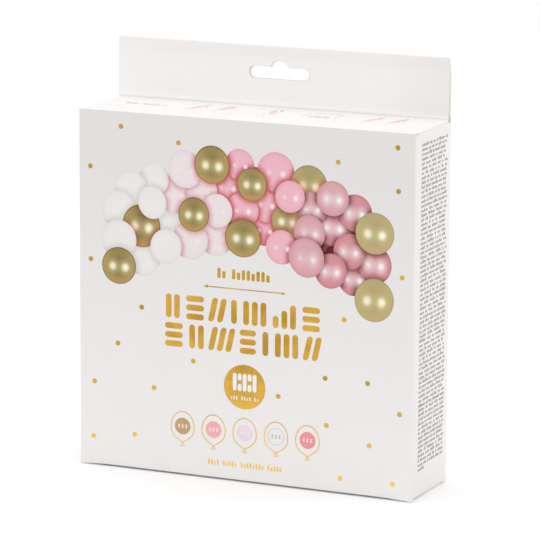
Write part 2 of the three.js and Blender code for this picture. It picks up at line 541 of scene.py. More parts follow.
@dataclass(frozen=True)
class GoldFoil:
    """Hot-stamped gold foil, a little uneven where it took to the board, with a painted reflection that
    brightens it toward the floor.
    """

    name: str = "gold_foil"
    light: Colour = (0.66, 0.40, 0.07)
    deep: Colour = (0.46, 0.26, 0.035)
    # Painted reflection: the brighter gold that the foil takes toward the floor.
    bright: Colour = (0.95, 0.64, 0.15)
    painted_reflection_below: float = 0.05
    drift_scale: float = 75
    patch_scale: float = 900
    grain_scale: float = 2200
    smoothest: float = 0.24
    roughest: float = 0.38

    def material(self) -> Finish:
        """Make the foil's metal, its drift from light to deep, and its painted reflection toward the floor.

        Returns:
            The material.
        """
        nodes = Nodes(self.name)
        drift = nodes.spread(nodes.noise(self.drift_scale, 2))
        metal = nodes.mix(drift, self.light, self.deep)
        # Painted reflection: the foil brightens over its lowest 50 mm, toward the floor.
        low = nodes.grade(nodes.split(nodes.place())[2], self.painted_reflection_below, 0.0)
        colour = nodes.mix(low, metal, self.bright)
        rough = nodes.spread(nodes.noise(self.patch_scale), self.smoothest, self.roughest)
        normal = nodes.bump(nodes.noise(self.grain_scale), strength=0.25, distance=0.00004)
        return nodes.surface({"Base Color": colour, "Metallic": 1.0, "Roughness": rough, "Normal": normal})


@dataclass(frozen=True)
class PrintedInk:
    """Flat ink under the varnish. Its colour is the piece's own ink attribute."""

    name: str = "printed_ink"
    thin_scale: float = 1300
    thinnest: float = 0.10

    def material(self) -> Finish:
        """Make the ink, a little thinner on the high spots of the board.

        Returns:
            The material.
        """
        nodes = Nodes(self.name)
        ink = nodes.add("Attribute", attribute_name="ink").outputs["Color"]
        thin = nodes.spread(nodes.noise(self.thin_scale), 0.0, self.thinnest)
        return varnished_print(nodes, nodes.mix(thin, ink, (1.0, 1.0, 1.0)))


@dataclass(frozen=True)
class Glow:
    """A printed highlight.

    It starts where a point faces the lamp far enough, from 0 to 1, rises as a power and ends at its peak.
    """

    start: float
    power: float
    peak: float


@dataclass(frozen=True)
class Shade:
    """A printed tone that sets in gently from one turn of the ball's surface, up to a share."""

    start: float
    share: float


@dataclass(frozen=True)
class PrintedBalloon:
    """A printed picture of a balloon between two soft lamps, in rubber or in chrome."""

    name: str = "printed_balloon"
    chrome: bool = False
    left_lamp: Triple = (-0.37, -0.04, 0.93)
    right_lamp: Triple = (0.39, -0.08, 0.92)
    glint: Colour = (0.92, 0.905, 0.90)
    left_spark: Glow = Glow(0.976, 2.2, 0.55)
    right_spark: Glow = Glow(0.976, 1.5, 0.95)
    pearl: Glow = Glow(0.80, 2.4, 0.62)
    pearl_from: float = 0.022
    pearl_to: float = 0.036
    rubber_deep: Shade = Shade(0.15, 0.42)
    rubber_rim: Shade = Shade(0.84, 0.26)
    chrome_bands: tuple[tuple[float, Colour], ...] = (
        (0.0, (0.205, 0.155, 0.036)),
        (0.10, (0.235, 0.175, 0.042)),
        (0.30, (0.33, 0.245, 0.062)),
        (0.55, (0.41, 0.29, 0.08)),
        (0.75, (0.24, 0.155, 0.04)),
        (0.92, (0.115, 0.075, 0.025)),
        (1.0, (0.32, 0.25, 0.13)),
    )
    chrome_above: Shade = Shade(0.35, 0.55)
    above_tone: Colour = (0.15, 0.09, 0.03)
    chrome_below: Shade = Shade(0.4, 0.55)
    below_tone: Colour = (0.46, 0.23, 0.07)
    pale_gold: Colour = (0.55, 0.46, 0.23)
    left_share: float = 0.85
    right_share: float = 1.0
    halo: Glow = Glow(0.80, 2.4, 0.6)
    halo_tone: Colour = (0.72, 0.62, 0.30)
    core: Glow = Glow(0.955, 1.5, 0.9)
    core_tone: Colour = (0.97, 0.92, 0.74)

    def _sphere(self, nodes: Nodes) -> tuple[object, object, object]:
        """Work out how a ball would face at each point of the disc.

        Args:
            nodes: the material.

        Returns:
            The sockets of the facing up, of the turn away from the viewer, and of the facing.
        """
        uv = nodes.add("UVMap", uv_map="across").outputs[0]
        across, up = (nodes.multiply(nodes.maths("SUBTRACT", at, 0.5), 2.0) for at in nodes.split(uv)[:2])
        squares = nodes.maths("ADD", nodes.maths("POWER", across, 2.0), nodes.maths("POWER", up, 2.0))
        forward = nodes.maths("SQRT", nodes.maths("SUBTRACT", 1.0, squares, clamp=True))
        facing = nodes.add("CombineXYZ", {0: across, 1: up, 2: forward}).outputs[0]
        return up, nodes.maths("SUBTRACT", 1.0, forward, clamp=True), facing

    def _light(
        self, nodes: Nodes, facing: object, lamp: Sequence[float], glow: Glow, share: float = 1.0
    ) -> object:
        """Make a highlight that fades all round.

        Args:
            nodes: the material.
            facing: the facing's socket.
            lamp: the way to the lamp.
            glow: the highlight.
            share: how much of it there is.

        Returns:
            The socket of its strength.
        """
        unit = tuple(Vector(lamp).normalized())
        toward = nodes.add("VectorMath", {0: facing, 1: unit}, operation="DOT_PRODUCT").outputs["Value"]
        rise = nodes.maths("POWER", nodes.grade(toward, glow.start, 1.0), glow.power)
        return nodes.multiply(rise, glow.peak * share)

    def _shade(self, nodes: Nodes, turn: object, shade: Shade, colour: object, tone: object) -> object:
        """Bring a tone in toward the end of a turn and return the colour's socket."""
        share = nodes.grade(turn, shade.start, 1.0, 0.0, shade.share, eased=True)
        return nodes.mix(share, colour, tone)

    def _metal(
        self, nodes: Nodes, ink: object, depth: object, up: object, rim: object, facing: object
    ) -> object:
        """Shade gold chrome between two bright bands.

        Args:
            nodes: the material.
            ink: the shade that balloons over this one throw on it.
            depth: how deep it is, from 0 for pale gold to 1.
            up: how far it faces up.
            rim: how far it turns away.
            facing: the way it faces.

        Returns:
            The colour's socket.
        """
        colour = nodes.ramp(rim, self.chrome_bands)
        colour = self._shade(nodes, up, self.chrome_above, colour, self.above_tone)
        down = nodes.multiply(up, -1.0)
        colour = self._shade(nodes, down, self.chrome_below, colour, self.below_tone)
        colour = nodes.mix(depth, self.pale_gold, colour)
        for lamp, share in ((self.left_lamp, self.left_share), (self.right_lamp, self.right_share)):
            colour = nodes.mix(self._light(nodes, facing, lamp, self.halo, share), colour, self.halo_tone)
            colour = nodes.mix(self._light(nodes, facing, lamp, self.core, share), colour, self.core_tone)
        return nodes.mix(1.0, colour, ink, "MULTIPLY")

    def _rubber(self, nodes: Nodes, ink: object, gloss: object, rim: object, facing: object) -> object:
        """Shade rubber, deeper at the rim, pearly on the right, and return the socket."""
        deep = nodes.mix(1.0, ink, ink, "MULTIPLY")
        colour = self._shade(nodes, rim, self.rubber_deep, ink, deep)
        colour = self._shade(nodes, rim, self.rubber_rim, colour, self.glint)
        across = nodes.split(nodes.place())[0]
        on_right = nodes.grade(across, self.pearl_from, self.pearl_to, eased=True)
        for lamp, spark in ((self.left_lamp, self.left_spark), (self.right_lamp, self.right_spark)):
            sharp = self._light(nodes, facing, lamp, spark)
            colour = nodes.mix(nodes.multiply(gloss, sharp), colour, self.glint)
            pearly = nodes.multiply(on_right, self._light(nodes, facing, lamp, self.pearl))
            colour = nodes.mix(nodes.multiply(gloss, pearly), colour, self.glint)
        return colour

    def material(self) -> Finish:
        """Make the printed shading.

        Returns:
            The material.
        """
        nodes = Nodes(self.name)
        up, rim, facing = self._sphere(nodes)
        printed = nodes.add("Attribute", attribute_name="ink").outputs
        if self.chrome:
            colour = self._metal(nodes, printed["Color"], printed["Alpha"], up, rim, facing)
        else:
            colour = self._rubber(nodes, printed["Color"], printed["Alpha"], rim, facing)
        return varnished_print(nodes, colour)


@dataclass(frozen=True)
class StudioFloor:
    """The pale matte surface that the carton stands on."""

    name: str = "studio_floor"
    white: Colour = (0.95, 0.95, 0.95)
    roughness: float = 0.9

    def material(self) -> Finish:
        """Make the floor's plain matte white."""
        nodes = Nodes(self.name)
        return nodes.surface({"Base Color": with_alpha(self.white), "Roughness": self.roughness})


class Workpiece:
    """A mesh on the bench, shaped in edit mode in millimetres until it is finished."""

    def __init__(self, name: str) -> None:
        """Take the active object as this piece.

        Args:
            name: the piece's name.
        """
        self.item = bpy.context.object
        self.item.name = name
        self.item.data.name = name
        self.name = name

    @classmethod
    def block(cls, name: str, low: Sequence[float], high: Sequence[float]) -> "Workpiece":
        """Start a piece from a cube.

        Args:
            name: the piece's name.
            low: the cube's lowest corner.
            high: its highest corner.

        Returns:
            The piece, in edit mode.
        """
        clear_selection()
        middle = (Vector(low) + Vector(high)) / 2
        bpy.ops.mesh.primitive_cube_add(size=1, location=middle, scale=Vector(high) - Vector(low))
        bpy.ops.object.transform_apply(location=True, rotation=True, scale=True)
        piece = cls(name)
        bpy.ops.object.mode_set(mode="EDIT")
        return piece

    @classmethod
    def strip(cls, name: str, path: Sequence[Vector], start: Vector, end: Vector) -> "Workpiece":
        """Start a piece as a strip of board, from an edge that is swept along a path.

        Args:
            name: the piece's name.
            path: the offsets of the swept edge, one for each crease.
            start: one end of the edge.
            end: its other end.

        Returns:
            The piece, in edit mode, with its last edge selected.
        """
        clear_selection()
        bpy.ops.mesh.primitive_plane_add(size=1)
        piece = cls(name)
        corners = [start + path[0], end + path[0], start + path[1], end + path[1]]
        for vertex, corner in zip(piece.item.data.vertices, corners):
            vertex.co = corner
        bpy.ops.object.mode_set(mode="EDIT")
        middle = (start + end) / 2 + path[1]
        piece.pick(Element.EDGE, lambda at: (at - middle).length < FINE)
        piece.sweep(path[1:])
        return piece

    @classmethod
    def cylinder(
        cls, name: str, centre: Vector, radius: float, length: float, sides: int = 96
    ) -> "Workpiece":
        """Start a piece from a cylinder that lies along Y.

        Args:
            name: the piece's name.
            centre: its middle.
            radius: its radius.
            length: its length.
            sides: how many sides it has.

        Returns:
            The piece, in edit mode.
        """
        clear_selection()
        bpy.ops.mesh.primitive_cylinder_add(
            vertices=sides, radius=radius, depth=length, location=centre, rotation=(math.pi / 2, 0, 0)
        )
        bpy.ops.object.transform_apply(location=True, rotation=True, scale=True)
        piece = cls(name)
        bpy.ops.object.mode_set(mode="EDIT")
        return piece

    def pick(self, kind: Element, test: Callable[[Vector], bool]) -> None:
        """Select elements by the place of their middle, and nothing else.

        Args:
            kind: vertices, edges or faces.
            test: tells whether an element with that middle is selected.
        """
        bpy.ops.mesh.select_mode(type=kind.value)
        bpy.ops.mesh.select_all(action="DESELECT")
        mesh = bmesh.from_edit_mesh(self.item.data)
        if kind is Element.VERTEX:
            chosen = [vertex for vertex in mesh.verts if test(vertex.co)]
        elif kind is Element.EDGE:
            chosen = [edge for edge in mesh.edges if test((edge.verts[0].co + edge.verts[1].co) / 2)]
        else:
            chosen = [face for face in mesh.faces if test(face.calc_center_median())]
        for element in chosen:
            element.select_set(True)
        mesh.select_flush_mode()
        bmesh.update_edit_mesh(self.item.data)

    def pick_long_edge(self, y: float, z: float) -> None:
        """Select the edge along the carton's width at a depth and a height."""
        self.pick(Element.EDGE, lambda at: on_long_edge(at, y, z))

    def extrude(self, offset: Sequence[float]) -> None:
        """Draw the selected edges out by an offset."""
        bpy.ops.mesh.extrude_region_move(TRANSFORM_OT_translate={"value": tuple(offset)})

    def sweep(self, path: Sequence[Vector]) -> None:
        """Draw the selected edges out along a path that starts where they are now."""
        for here, there in zip(path, path[1:]):
            self.extrude(there - here)

    def widen(self, from_width: float, to_width: float) -> None:
        """Scale what is selected along X about the middle of the carton."""
        bpy.ops.transform.resize(value=(to_width / from_width, 1, 1), center_override=(0, 0, 0))

    def round_corners(self, radius: float, steps: int, test: Callable[[Vector], bool]) -> None:
        """Round the corners whose vertices pass a test, each in so many straight pieces."""
        self.pick(Element.VERTEX, test)
        bpy.ops.mesh.bevel(offset=radius, segments=steps, affect="VERTICES", offset_type="OFFSET")

    def round_flap(self, sizes: CartonSizes, tuck: Vector, plain: Vector) -> None:
        """Round a flap's corner beside the tuck, and less its other corner, both given in X and Y."""
        for corner, radius, steps in (
            (tuck, sizes.flap_tuck_corner, sizes.corner_steps),
            (plain, sizes.flap_plain_corner, sizes.corner_steps // 2),
        ):
            self.round_corners(radius, steps, lambda at: near(at.x, corner.x) and near(at.y, corner.y))

    def slice(self, axis: int, at: float) -> None:
        """Cut every face along a plane, and keep both sides.

        Args:
            axis: the axis that the plane crosses.
            at: where it crosses it.
        """
        normal = Vector((0, 0, 0))
        normal[axis] = 1
        bpy.ops.mesh.select_all(action="SELECT")
        bpy.ops.mesh.bisect(plane_co=normal * at, plane_no=normal)

    def keep_above(self, height: float) -> None:
        """Cut away what lies under a height, and close the cut."""
        bpy.ops.mesh.select_all(action="SELECT")
        bpy.ops.mesh.bisect(plane_co=(0, 0, height), plane_no=(0, 0, 1), clear_inner=True, use_fill=True)

    def grid(self, axis: int, low: float, high: float, step: float) -> None:
        """Cut every face in even steps, so that a wall can bow."""
        count = round((high - low) / step)
        for i in range(1, count):
            self.slice(axis, low + (high - low) * i / count)

    def leave_edit(self) -> None:
        """Go back to object mode with this piece alone active."""
        clear_selection()
        self.item.select_set(True)
        bpy.context.view_layer.objects.active = self.item

    def face(self, direction: Sequence[float]) -> None:
        """Turn the strip so that its first face looks in a direction."""
        bpy.ops.mesh.select_all(action="SELECT")
        mesh = bmesh.from_edit_mesh(self.item.data)
        mesh.faces.ensure_lookup_table()
        mesh.normal_update()
        if mesh.faces[0].normal.dot(Vector(direction)) < 0:
            bpy.ops.mesh.flip_normals()

    def apply(self, kind: str, **settings: object) -> None:
        """Add a modifier to the piece and apply it.

        Args:
            kind: the modifier's type.
            settings: its properties.
        """
        self.leave_edit()
        modifier = self.item.modifiers.new(kind.lower(), kind)
        for key, value in settings.items():
            setattr(modifier, key, value)
        bpy.ops.object.modifier_apply(modifier=modifier.name)

    def dress(self, finishes: Sequence[Finish]) -> None:
        """Give the piece its materials."""
        self.item.data.materials.clear()
        for finish in finishes:
            self.item.data.materials.append(finish)

    def ease(self, moves: Callable[[Vector], Vector]) -> None:
        """Move a sheet's vertices a little, as board eases once it is folded.

        Args:
            moves: gives the offset of a vertex from its place.
        """
        self.leave_edit()
        for vertex in self.item.data.vertices:
            vertex.co += moves(vertex.co.copy())
        self.item.data.update()

    def thicken(self, finishes: Sequence[Finish], board: float) -> None:
        """Give the sheet its finishes, and the board's thickness about its middle line.

        Args:
            finishes: the finishes outside, on the cut edges and inside.
            board: the board's thickness.
        """
        self.leave_edit()
        self.dress(finishes)
        self.apply(
            "SOLIDIFY",
            thickness=board,
            offset=0.0,
            use_even_offset=True,
            material_offset_rim=1,
            material_offset=2,
        )

    def cut_out(self, cutter: "Workpiece") -> None:
        """Punch a hole with another piece, which is used up.

        Args:
            cutter: the punch. The cut gets the finish of raw edges.
        """
        cutter.leave_edit()
        cutter.dress(list(self.item.data.materials))
        for polygon in cutter.item.data.polygons:
            polygon.material_index = 1
        self.apply(
            "BOOLEAN",
            operation="DIFFERENCE",
            object=cutter.item,
            solver="EXACT",
            material_mode="INDEX",
        )
        bpy.data.objects.remove(cutter.item)

    def finish(self, slot: str, smooth: float = 35.0) -> bpy.types.Object:
        """Bring the piece to metres and smooth its bends.

        Args:
            slot: not used.
            smooth: the steepest bend in degrees that is shaded smooth.

        Returns:
            The finished object.
        """
        self.leave_edit()
        self.item.data.transform(Matrix.Scale(MM, 4))
        bpy.ops.object.shade_smooth_by_angle(angle=math.radians(smooth))
        log.info("%s: %d faces", self.name, len(self.item.data.polygons))
        return self.item


@dataclass(frozen=True)
class HookSlot:
    """A slot for a display hook, with round ends and a round rise in its middle."""

    length: float
    height: float
    rise_half: float
    rise: float

    @property
    def rise_radius(self) -> float:
        """The radius of the rise, from its half width and its height."""
        return (self.rise_half**2 + self.rise**2) / (2 * self.rise)


@dataclass
class CartonShell:
    """The walls, the closed base and the hang tab, folded from one sheet of board."""

    sizes: CartonSizes
    finishes: list[Finish]
    foot_bend: float = 2.0
    wall_foot: float = 0.65
    back_foot: float = 0.3
    front_lip: float = 0.55
    base_width: float = 173.6
    base_line: float = 0.25
    base_flap_line: float = 1.25
    base_tuck_line: float = 20.55
    base_tuck_top: float = 14.0
    foot_skew: float = 0.45
    foot_bow: float = 0.9
    bow_power: int = 16
    bow_fade: float = 0.7
    fold_narrow: float = 0.7
    fold_reach: float = 8.0
    ply_narrow: float = 0.55
    ply_press: float = 1.0
    press_reach: float = 7.0
    press_foot: float = 1.6
    edge_power: int = 16
    bend_steps: int = 5
    curve_steps: int = 12
    wall_step: float = 12.5
    tab_step: float = 1.6
    front_slot: HookSlot = HookSlot(32.4, 6.2, 4.65, 3.3)
    back_slot: HookSlot = HookSlot(30.4, 5.6, 4.3, 3.1)
    slot_steps: int = 16
    punch_over: float = 1.0
    half_ply_gap: float = 0.15

    @property
    def flat_width(self) -> float:
        """The front wall's width between its creases."""
        return 2 * (self.sizes.line_x - self.sizes.crease)

    def _on_side(self, at: Vector, low: float, high: float) -> bool:
        """Tell whether a place is on a side wall between two depths."""
        return near(abs(at.x), self.sizes.line_x, FINE) and low < at.y < high

    def _walls(self) -> Workpiece:
        """Raise the four walls round their rounded creases.

        Returns:
            The shell so far, in edit mode.
        """
        sizes = self.sizes
        x, y, low, high = sizes.line_x, sizes.line_y, self.foot_bend, sizes.shoulder
        shell = Workpiece.block("carton_shell", (-x, -y, low), (x, y, high))
        shell.pick(Element.FACE, lambda at: near(at.z, low) or near(at.z, high))
        bpy.ops.mesh.delete(type="ONLY_FACE")
        shell.pick(Element.EDGE, lambda at: near(abs(at.x), x) and near(abs(at.y), y))
        bpy.ops.mesh.bevel(offset=sizes.crease, segments=self.bend_steps, affect="EDGES")
        for edge in (sizes.flap_tuck_edge, sizes.flap_plain_edge):
            shell.slice(1, edge)
            shell.slice(1, -edge)
        return shell

    def _raise_tops(self, shell: Workpiece) -> None:
        """Bring the walls to their tops beside the dust flaps' creases, and the front wall to its lip."""
        sizes = self.sizes
        tuck, plain = sizes.flap_tuck_edge, sizes.flap_plain_edge
        shell.pick(
            Element.EDGE,
            lambda at: near(at.z, sizes.shoulder, FINE) and not self._on_side(at, -tuck, plain),
        )
        shell.extrude((0, 0, sizes.flap_top - sizes.shoulder))
        shell.pick_long_edge(-sizes.line_y, sizes.flap_top)
        shell.extrude((0, 0, self.front_lip))
        shell.widen(self.flat_width, 2 * sizes.line_x)

    def _fold_tab(self, shell: Workpiece) -> None:
        """Carry the back wall up, over the fold and down again as the front ply."""
        sizes = self.sizes
        shell.pick_long_edge(sizes.line_y, sizes.flap_top)
        shell.extrude((0, 0, sizes.board))
        shell.widen(self.flat_width, sizes.tab_width)
        radius = sizes.fold_radius
        fold_back = sizes.ply_line + 2 * radius
        fold_z = sizes.top - sizes.half_board - radius
        path = [Vector((sizes.line_y, sizes.flap_top + sizes.board))]
        for i in range(self.curve_steps):
            turn = math.pi / 2 * i / self.curve_steps
            forward = fold_back + (sizes.line_y - fold_back) * math.cos(turn)
            path.append(Vector((forward, fold_z - sizes.fold_drop * (1 - math.sin(turn)))))
        path += arc((sizes.ply_line + radius, fold_z), radius, 0, 180, 2 * self.bend_steps)
        path.append(Vector((sizes.ply_line, sizes.ply_foot)))
        shell.sweep(lengthwise(path))
        shell.widen(sizes.tab_width, sizes.lid_width)

    def _fold_base(self, shell: Workpiece) -> None:
        """Fold the base panel back from the front wall, and its tuck flap up inside the back wall."""
        sizes = self.sizes
        tuck, plain = sizes.flap_tuck_edge, sizes.flap_plain_edge
        bend, foot = self.foot_bend, self.wall_foot
        shell.pick(
            Element.EDGE,
            lambda at: near(at.z, bend, FINE)
            and not self._on_side(at, -plain, tuck)
            and not on_long_edge(at, -sizes.line_y, bend),
        )
        shell.extrude((0, 0, foot - bend))
        shell.pick_long_edge(sizes.line_y, foot)
        shell.extrude((0, 0, self.back_foot - foot))
        shell.pick_long_edge(-sizes.line_y, bend)
        shell.extrude((0, 0, foot - bend))
        shell.widen(self.flat_width, self.base_width)
        radius = foot - self.base_line
        path = arc((radius - sizes.line_y, foot), radius, 180, 270, self.bend_steps)
        path += arc((self.base_tuck_line - radius, foot), radius, 270, 360, self.bend_steps)
        path.append(Vector((self.base_tuck_line, self.base_tuck_top)))
        shell.sweep(lengthwise(path))
        shell.round_corners(sizes.tuck_corner, sizes.corner_steps, lambda at: near(at.z, self.base_tuck_top))

    def _fold_base_flap(self, shell: Workpiece, side: Side) -> None:
        """Fold a base flap in from a side wall.

        Args:
            shell: the shell so far.
            side: which side wall.
        """
        sizes, sign = self.sizes, side.value
        tuck, plain = sizes.flap_tuck_edge, sizes.flap_plain_edge
        shell.pick(
            Element.EDGE,
            lambda at: near(at.z, self.foot_bend, FINE)
            and at.x * sign > 0
            and self._on_side(at, -plain, tuck),
        )
        radius = self.foot_bend - self.base_flap_line
        path = arc((sizes.line_x - radius, self.foot_bend), radius, 0, -90, self.bend_steps)
        tip = sizes.side - sizes.flap_reach
        path.append(Vector((tip, self.base_flap_line)))
        shell.sweep(crosswise(path, sign))
        shell.round_flap(sizes, Vector((sign * tip, tuck)), Vector((sign * tip, -plain)))

    def _ease(self, at: Vector) -> Vector:
        """Say how far a vertex of the shell eases.

        Args:
            at: the vertex's place.

        Returns:
            Its offset.
        """
        sizes = self.sizes
        move = Vector((0, 0, 0))
        if near(abs(at.y), sizes.line_y, FINE) and at.z < sizes.height:
            move.y = -math.copysign(sizes.sag(at.x, at.z), at.y)
        if near(abs(at.x), sizes.line_x, FINE):
            move.x = -math.copysign(sizes.side_sag(at.y, at.z), at.x)
        in_foot = self.wall_foot - REACH < at.z < self.foot_bend + REACH
        if in_foot and (abs(at.x) > self.base_width / 2 + REACH or at.z > self.wall_foot + 2 * REACH):
            move.z = -self.foot_skew * (at.y + sizes.back) / sizes.depth
        return move + self._bow(at) + self._press(at)

    def _press(self, at: Vector) -> Vector:
        """Narrow the tab's fold and its front ply, and press that ply to the back ply.

        Args:
            at: a vertex's place.

        Returns:
            Its offset.
        """
        sizes = self.sizes
        if at.z < sizes.ply_foot - REACH:
            return Vector((0, 0, 0))
        edge = (2 * abs(at.x) / sizes.tab_width) ** self.edge_power
        below = sizes.top - at.z
        inward = self.fold_narrow * (1 - smooth(below / self.fold_reach))
        back = 0.0
        if near(at.y, sizes.ply_line, FINE):
            share = smooth(below / self.press_reach) * smooth((at.z - sizes.ply_foot) / self.press_foot)
            inward += self.ply_narrow * share
            back = self.ply_press * share
        return Vector((-math.copysign(inward * edge, at.x), back, 0))

    def _bow(self, at: Vector) -> Vector:
        """Lift the middle of the base and of the front wall's foot off the floor.

        Args:
            at: a vertex's place.

        Returns:
            Its lift.
        """
        sizes = self.sizes
        on_base = at.z < self.foot_bend - REACH and at.y < self.base_tuck_line - REACH
        on_foot = near(at.y, -sizes.line_y, FINE) and at.z < self.foot_bend + REACH
        on_tuck = near(at.y, self.base_tuck_line, 2 * REACH) and at.z < self.base_tuck_top + 2 * REACH
        if not (on_base or on_foot or on_tuck) or abs(at.x) > self.base_width / 2:
            return Vector((0, 0, 0))
        run = 1 - (2 * at.x / self.base_width) ** self.bow_power
        depth = 1 - self.bow_fade * (at.y + sizes.back) / sizes.depth
        return Vector((0, 0, self.foot_bow * run * depth))

    def _punch(self, shell: Workpiece, slot: HookSlot, low: float, high: float) -> None:
        """Punch the hook slot through one ply.

        Args:
            shell: the shell.
            slot: the slot in that ply.
            low: where the punch starts, front to back.
            high: where it ends.
        """
        sizes = self.sizes
        middle = Vector((sizes.slot_x, (low + high) / 2, sizes.slot_z))
        half = Vector((slot.length / 2, (high - low) / 2, slot.height / 2))
        punch = Workpiece.block("slot_punch", middle - half, middle + half)
        punch.pick(
            Element.EDGE,
            lambda at: near(abs(at.x - middle.x), half.x) and near(abs(at.z - middle.z), half.z),
        )
        bpy.ops.mesh.bevel(offset=slot.height / 2 - FINE, segments=self.slot_steps, affect="EDGES")
        shell.cut_out(punch)
        centre = middle + Vector((0, 0, slot.height / 2 + slot.rise - slot.rise_radius))
        rise_punch = Workpiece.cylinder("rise_punch", centre, slot.rise_radius, high - low)
        rise_punch.keep_above(middle.z)
        shell.cut_out(rise_punch)

    def build(self) -> None:
        """Fold, thicken and punch the shell, which rides on the carton."""
        shell = self._walls()
        self._raise_tops(shell)
        self._fold_tab(shell)
        self._fold_base(shell)
        for side in Side:
            self._fold_base_flap(shell, side)
        sizes = self.sizes
        shell.grid(0, -sizes.side, sizes.side, self.wall_step)
        shell.grid(1, -sizes.back, sizes.back, self.wall_step)
        shell.grid(2, 0, sizes.height, self.wall_step)
        shell.grid(2, sizes.height, sizes.top - 1, self.tab_step)
        shell.ease(self._ease)
        shell.thicken(self.finishes, sizes.board)
        between = sizes.ply_face + sizes.board + self.ply_press + self.half_ply_gap
        self._punch(shell, self.front_slot, sizes.ply_face - self.punch_over, between)
        self._punch(shell, self.back_slot, between, sizes.back + self.punch_over)
        piece = shell.finish("white_board")
        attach(piece, "carton")
        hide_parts("carton_body")


@dataclass
class SeamFlap:
    """The left wall's narrow flap, glued inside the back wall."""

    sizes: CartonSizes
    finishes: list[Finish]
    reach: float = 12.0
    low: float = 4.5
    high: float = 171.7
    chamfer: float = 5.0
    boards_in: float = 1.75
    step: float = 9.0

    def build(self) -> None:
        """Make the flap, which rides on the carton."""
        near_x = self.sizes.board - self.sizes.side
        line = self.sizes.back - self.boards_in * self.sizes.board
        path = [Vector((0, 0, 0)), Vector((self.reach, 0, 0))]
        start, end = Vector((near_x, line, self.low)), Vector((near_x, line, self.high))
        flap = Workpiece.strip("seam_flap", path, start, end)
        flap.round_corners(self.chamfer, 1, lambda at: near(at.x, near_x + self.reach))
        flap.face((0, 1, 0))
        flap.grid(2, self.low, self.high, self.step)
        flap.thicken(self.finishes, self.sizes.board)
        piece = flap.finish("uncoated_board")
        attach(piece, "carton")


@dataclass
class Lid:
    """The top panel with its tuck flap, and the crease that joins it to the hang tab's front ply."""

    sizes: CartonSizes
    finishes: list[Finish]
    gap: float = 0.3
    bend_outside: float = 0.8
    tuck_length: float = 13.0
    lean: float = math.radians(11)
    rear: float = 18.9
    crease_radius: float = 0.45
    crease_smooth: float = 60.0
    sag: float = 0.25
    droop: float = 0.22
    droop_power: int = 12
    flat_rim: float = 2.0
    tuck_steps: int = 6
    crease_steps: int = 8
    step_across: float = 10.0
    step_back: float = 6.0

    @property
    def line(self) -> float:
        """The height of the panel's middle line."""
        return self.sizes.height - self.sizes.half_board

    def sag_at(self, across: float, back: float) -> float:
        """How far the panel drops: in its middle, and where its side edges rest on the dust flaps.

        Args:
            across: place across the lid.
            back: place from front to back.

        Returns:
            The drop.
        """
        run = min(abs(across) / (self.sizes.lid_width / 2), 1)
        depth = min(abs(back) / (self.sizes.back - self.flat_rim), 1)
        return self.sag * (1 - run**2) * (1 - depth**2) + self.droop * run**self.droop_power

    def _ease(self, at: Vector) -> Vector:
        """Let the panel drop a little."""
        drop = self.sag_at(at.x, at.y) if near(at.z, self.line, FINE) else 0
        return Vector((0, 0, -drop))

    def panel(self) -> None:
        """Make the panel and its tuck flap, which ride on the lid."""
        sizes = self.sizes
        centre_y = -sizes.back + sizes.board + self.gap + self.bend_outside
        centre = (centre_y, sizes.height - self.bend_outside)
        radius = self.bend_outside - sizes.half_board
        path = [Vector((self.rear, self.line))]
        path += arc(centre, radius, 90, 180 + math.degrees(self.lean), self.tuck_steps)
        tip = path[-1] + self.tuck_length * Vector((math.sin(self.lean), -math.cos(self.lean)))
        path.append(tip)
        half = Vector((sizes.lid_width / 2, 0, 0))
        lid = Workpiece.strip("lid_panel", lengthwise(path), -half, half)
        lid.face((0, 0, 1))
        lid.round_corners(sizes.tuck_corner, sizes.corner_steps, lambda at: near(at.z, tip.y))
        lid.grid(0, -sizes.side, sizes.side, self.step_across)
        lid.grid(1, -sizes.back, sizes.back, self.step_back)
        lid.ease(self._ease)
        lid.thicken(self.finishes, sizes.board)
        piece = lid.finish("white_board")
        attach(piece, "lid")
        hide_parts("lid")

    def crease(self) -> None:
        """Make the crease that joins the tab's front ply to the lid."""
        sizes = self.sizes
        radius = self.crease_radius
        path = [Vector((sizes.ply_line, sizes.ply_foot))]
        path += arc((sizes.ply_line - radius, self.line + radius), radius, 0, -90, self.crease_steps)
        path.append(Vector((self.rear, self.line)))
        half = Vector((sizes.lid_width / 2, 0, 0))
        crease = Workpiece.strip("lid_crease", lengthwise(path), -half, half)
        crease.face((0, -1, 0))
        crease.grid(0, -sizes.side, sizes.side, self.step_across)
        crease.ease(self._ease)
        crease.thicken(self.finishes, sizes.board)
        piece = crease.finish("white_board", smooth=self.crease_smooth)
        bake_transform(piece)


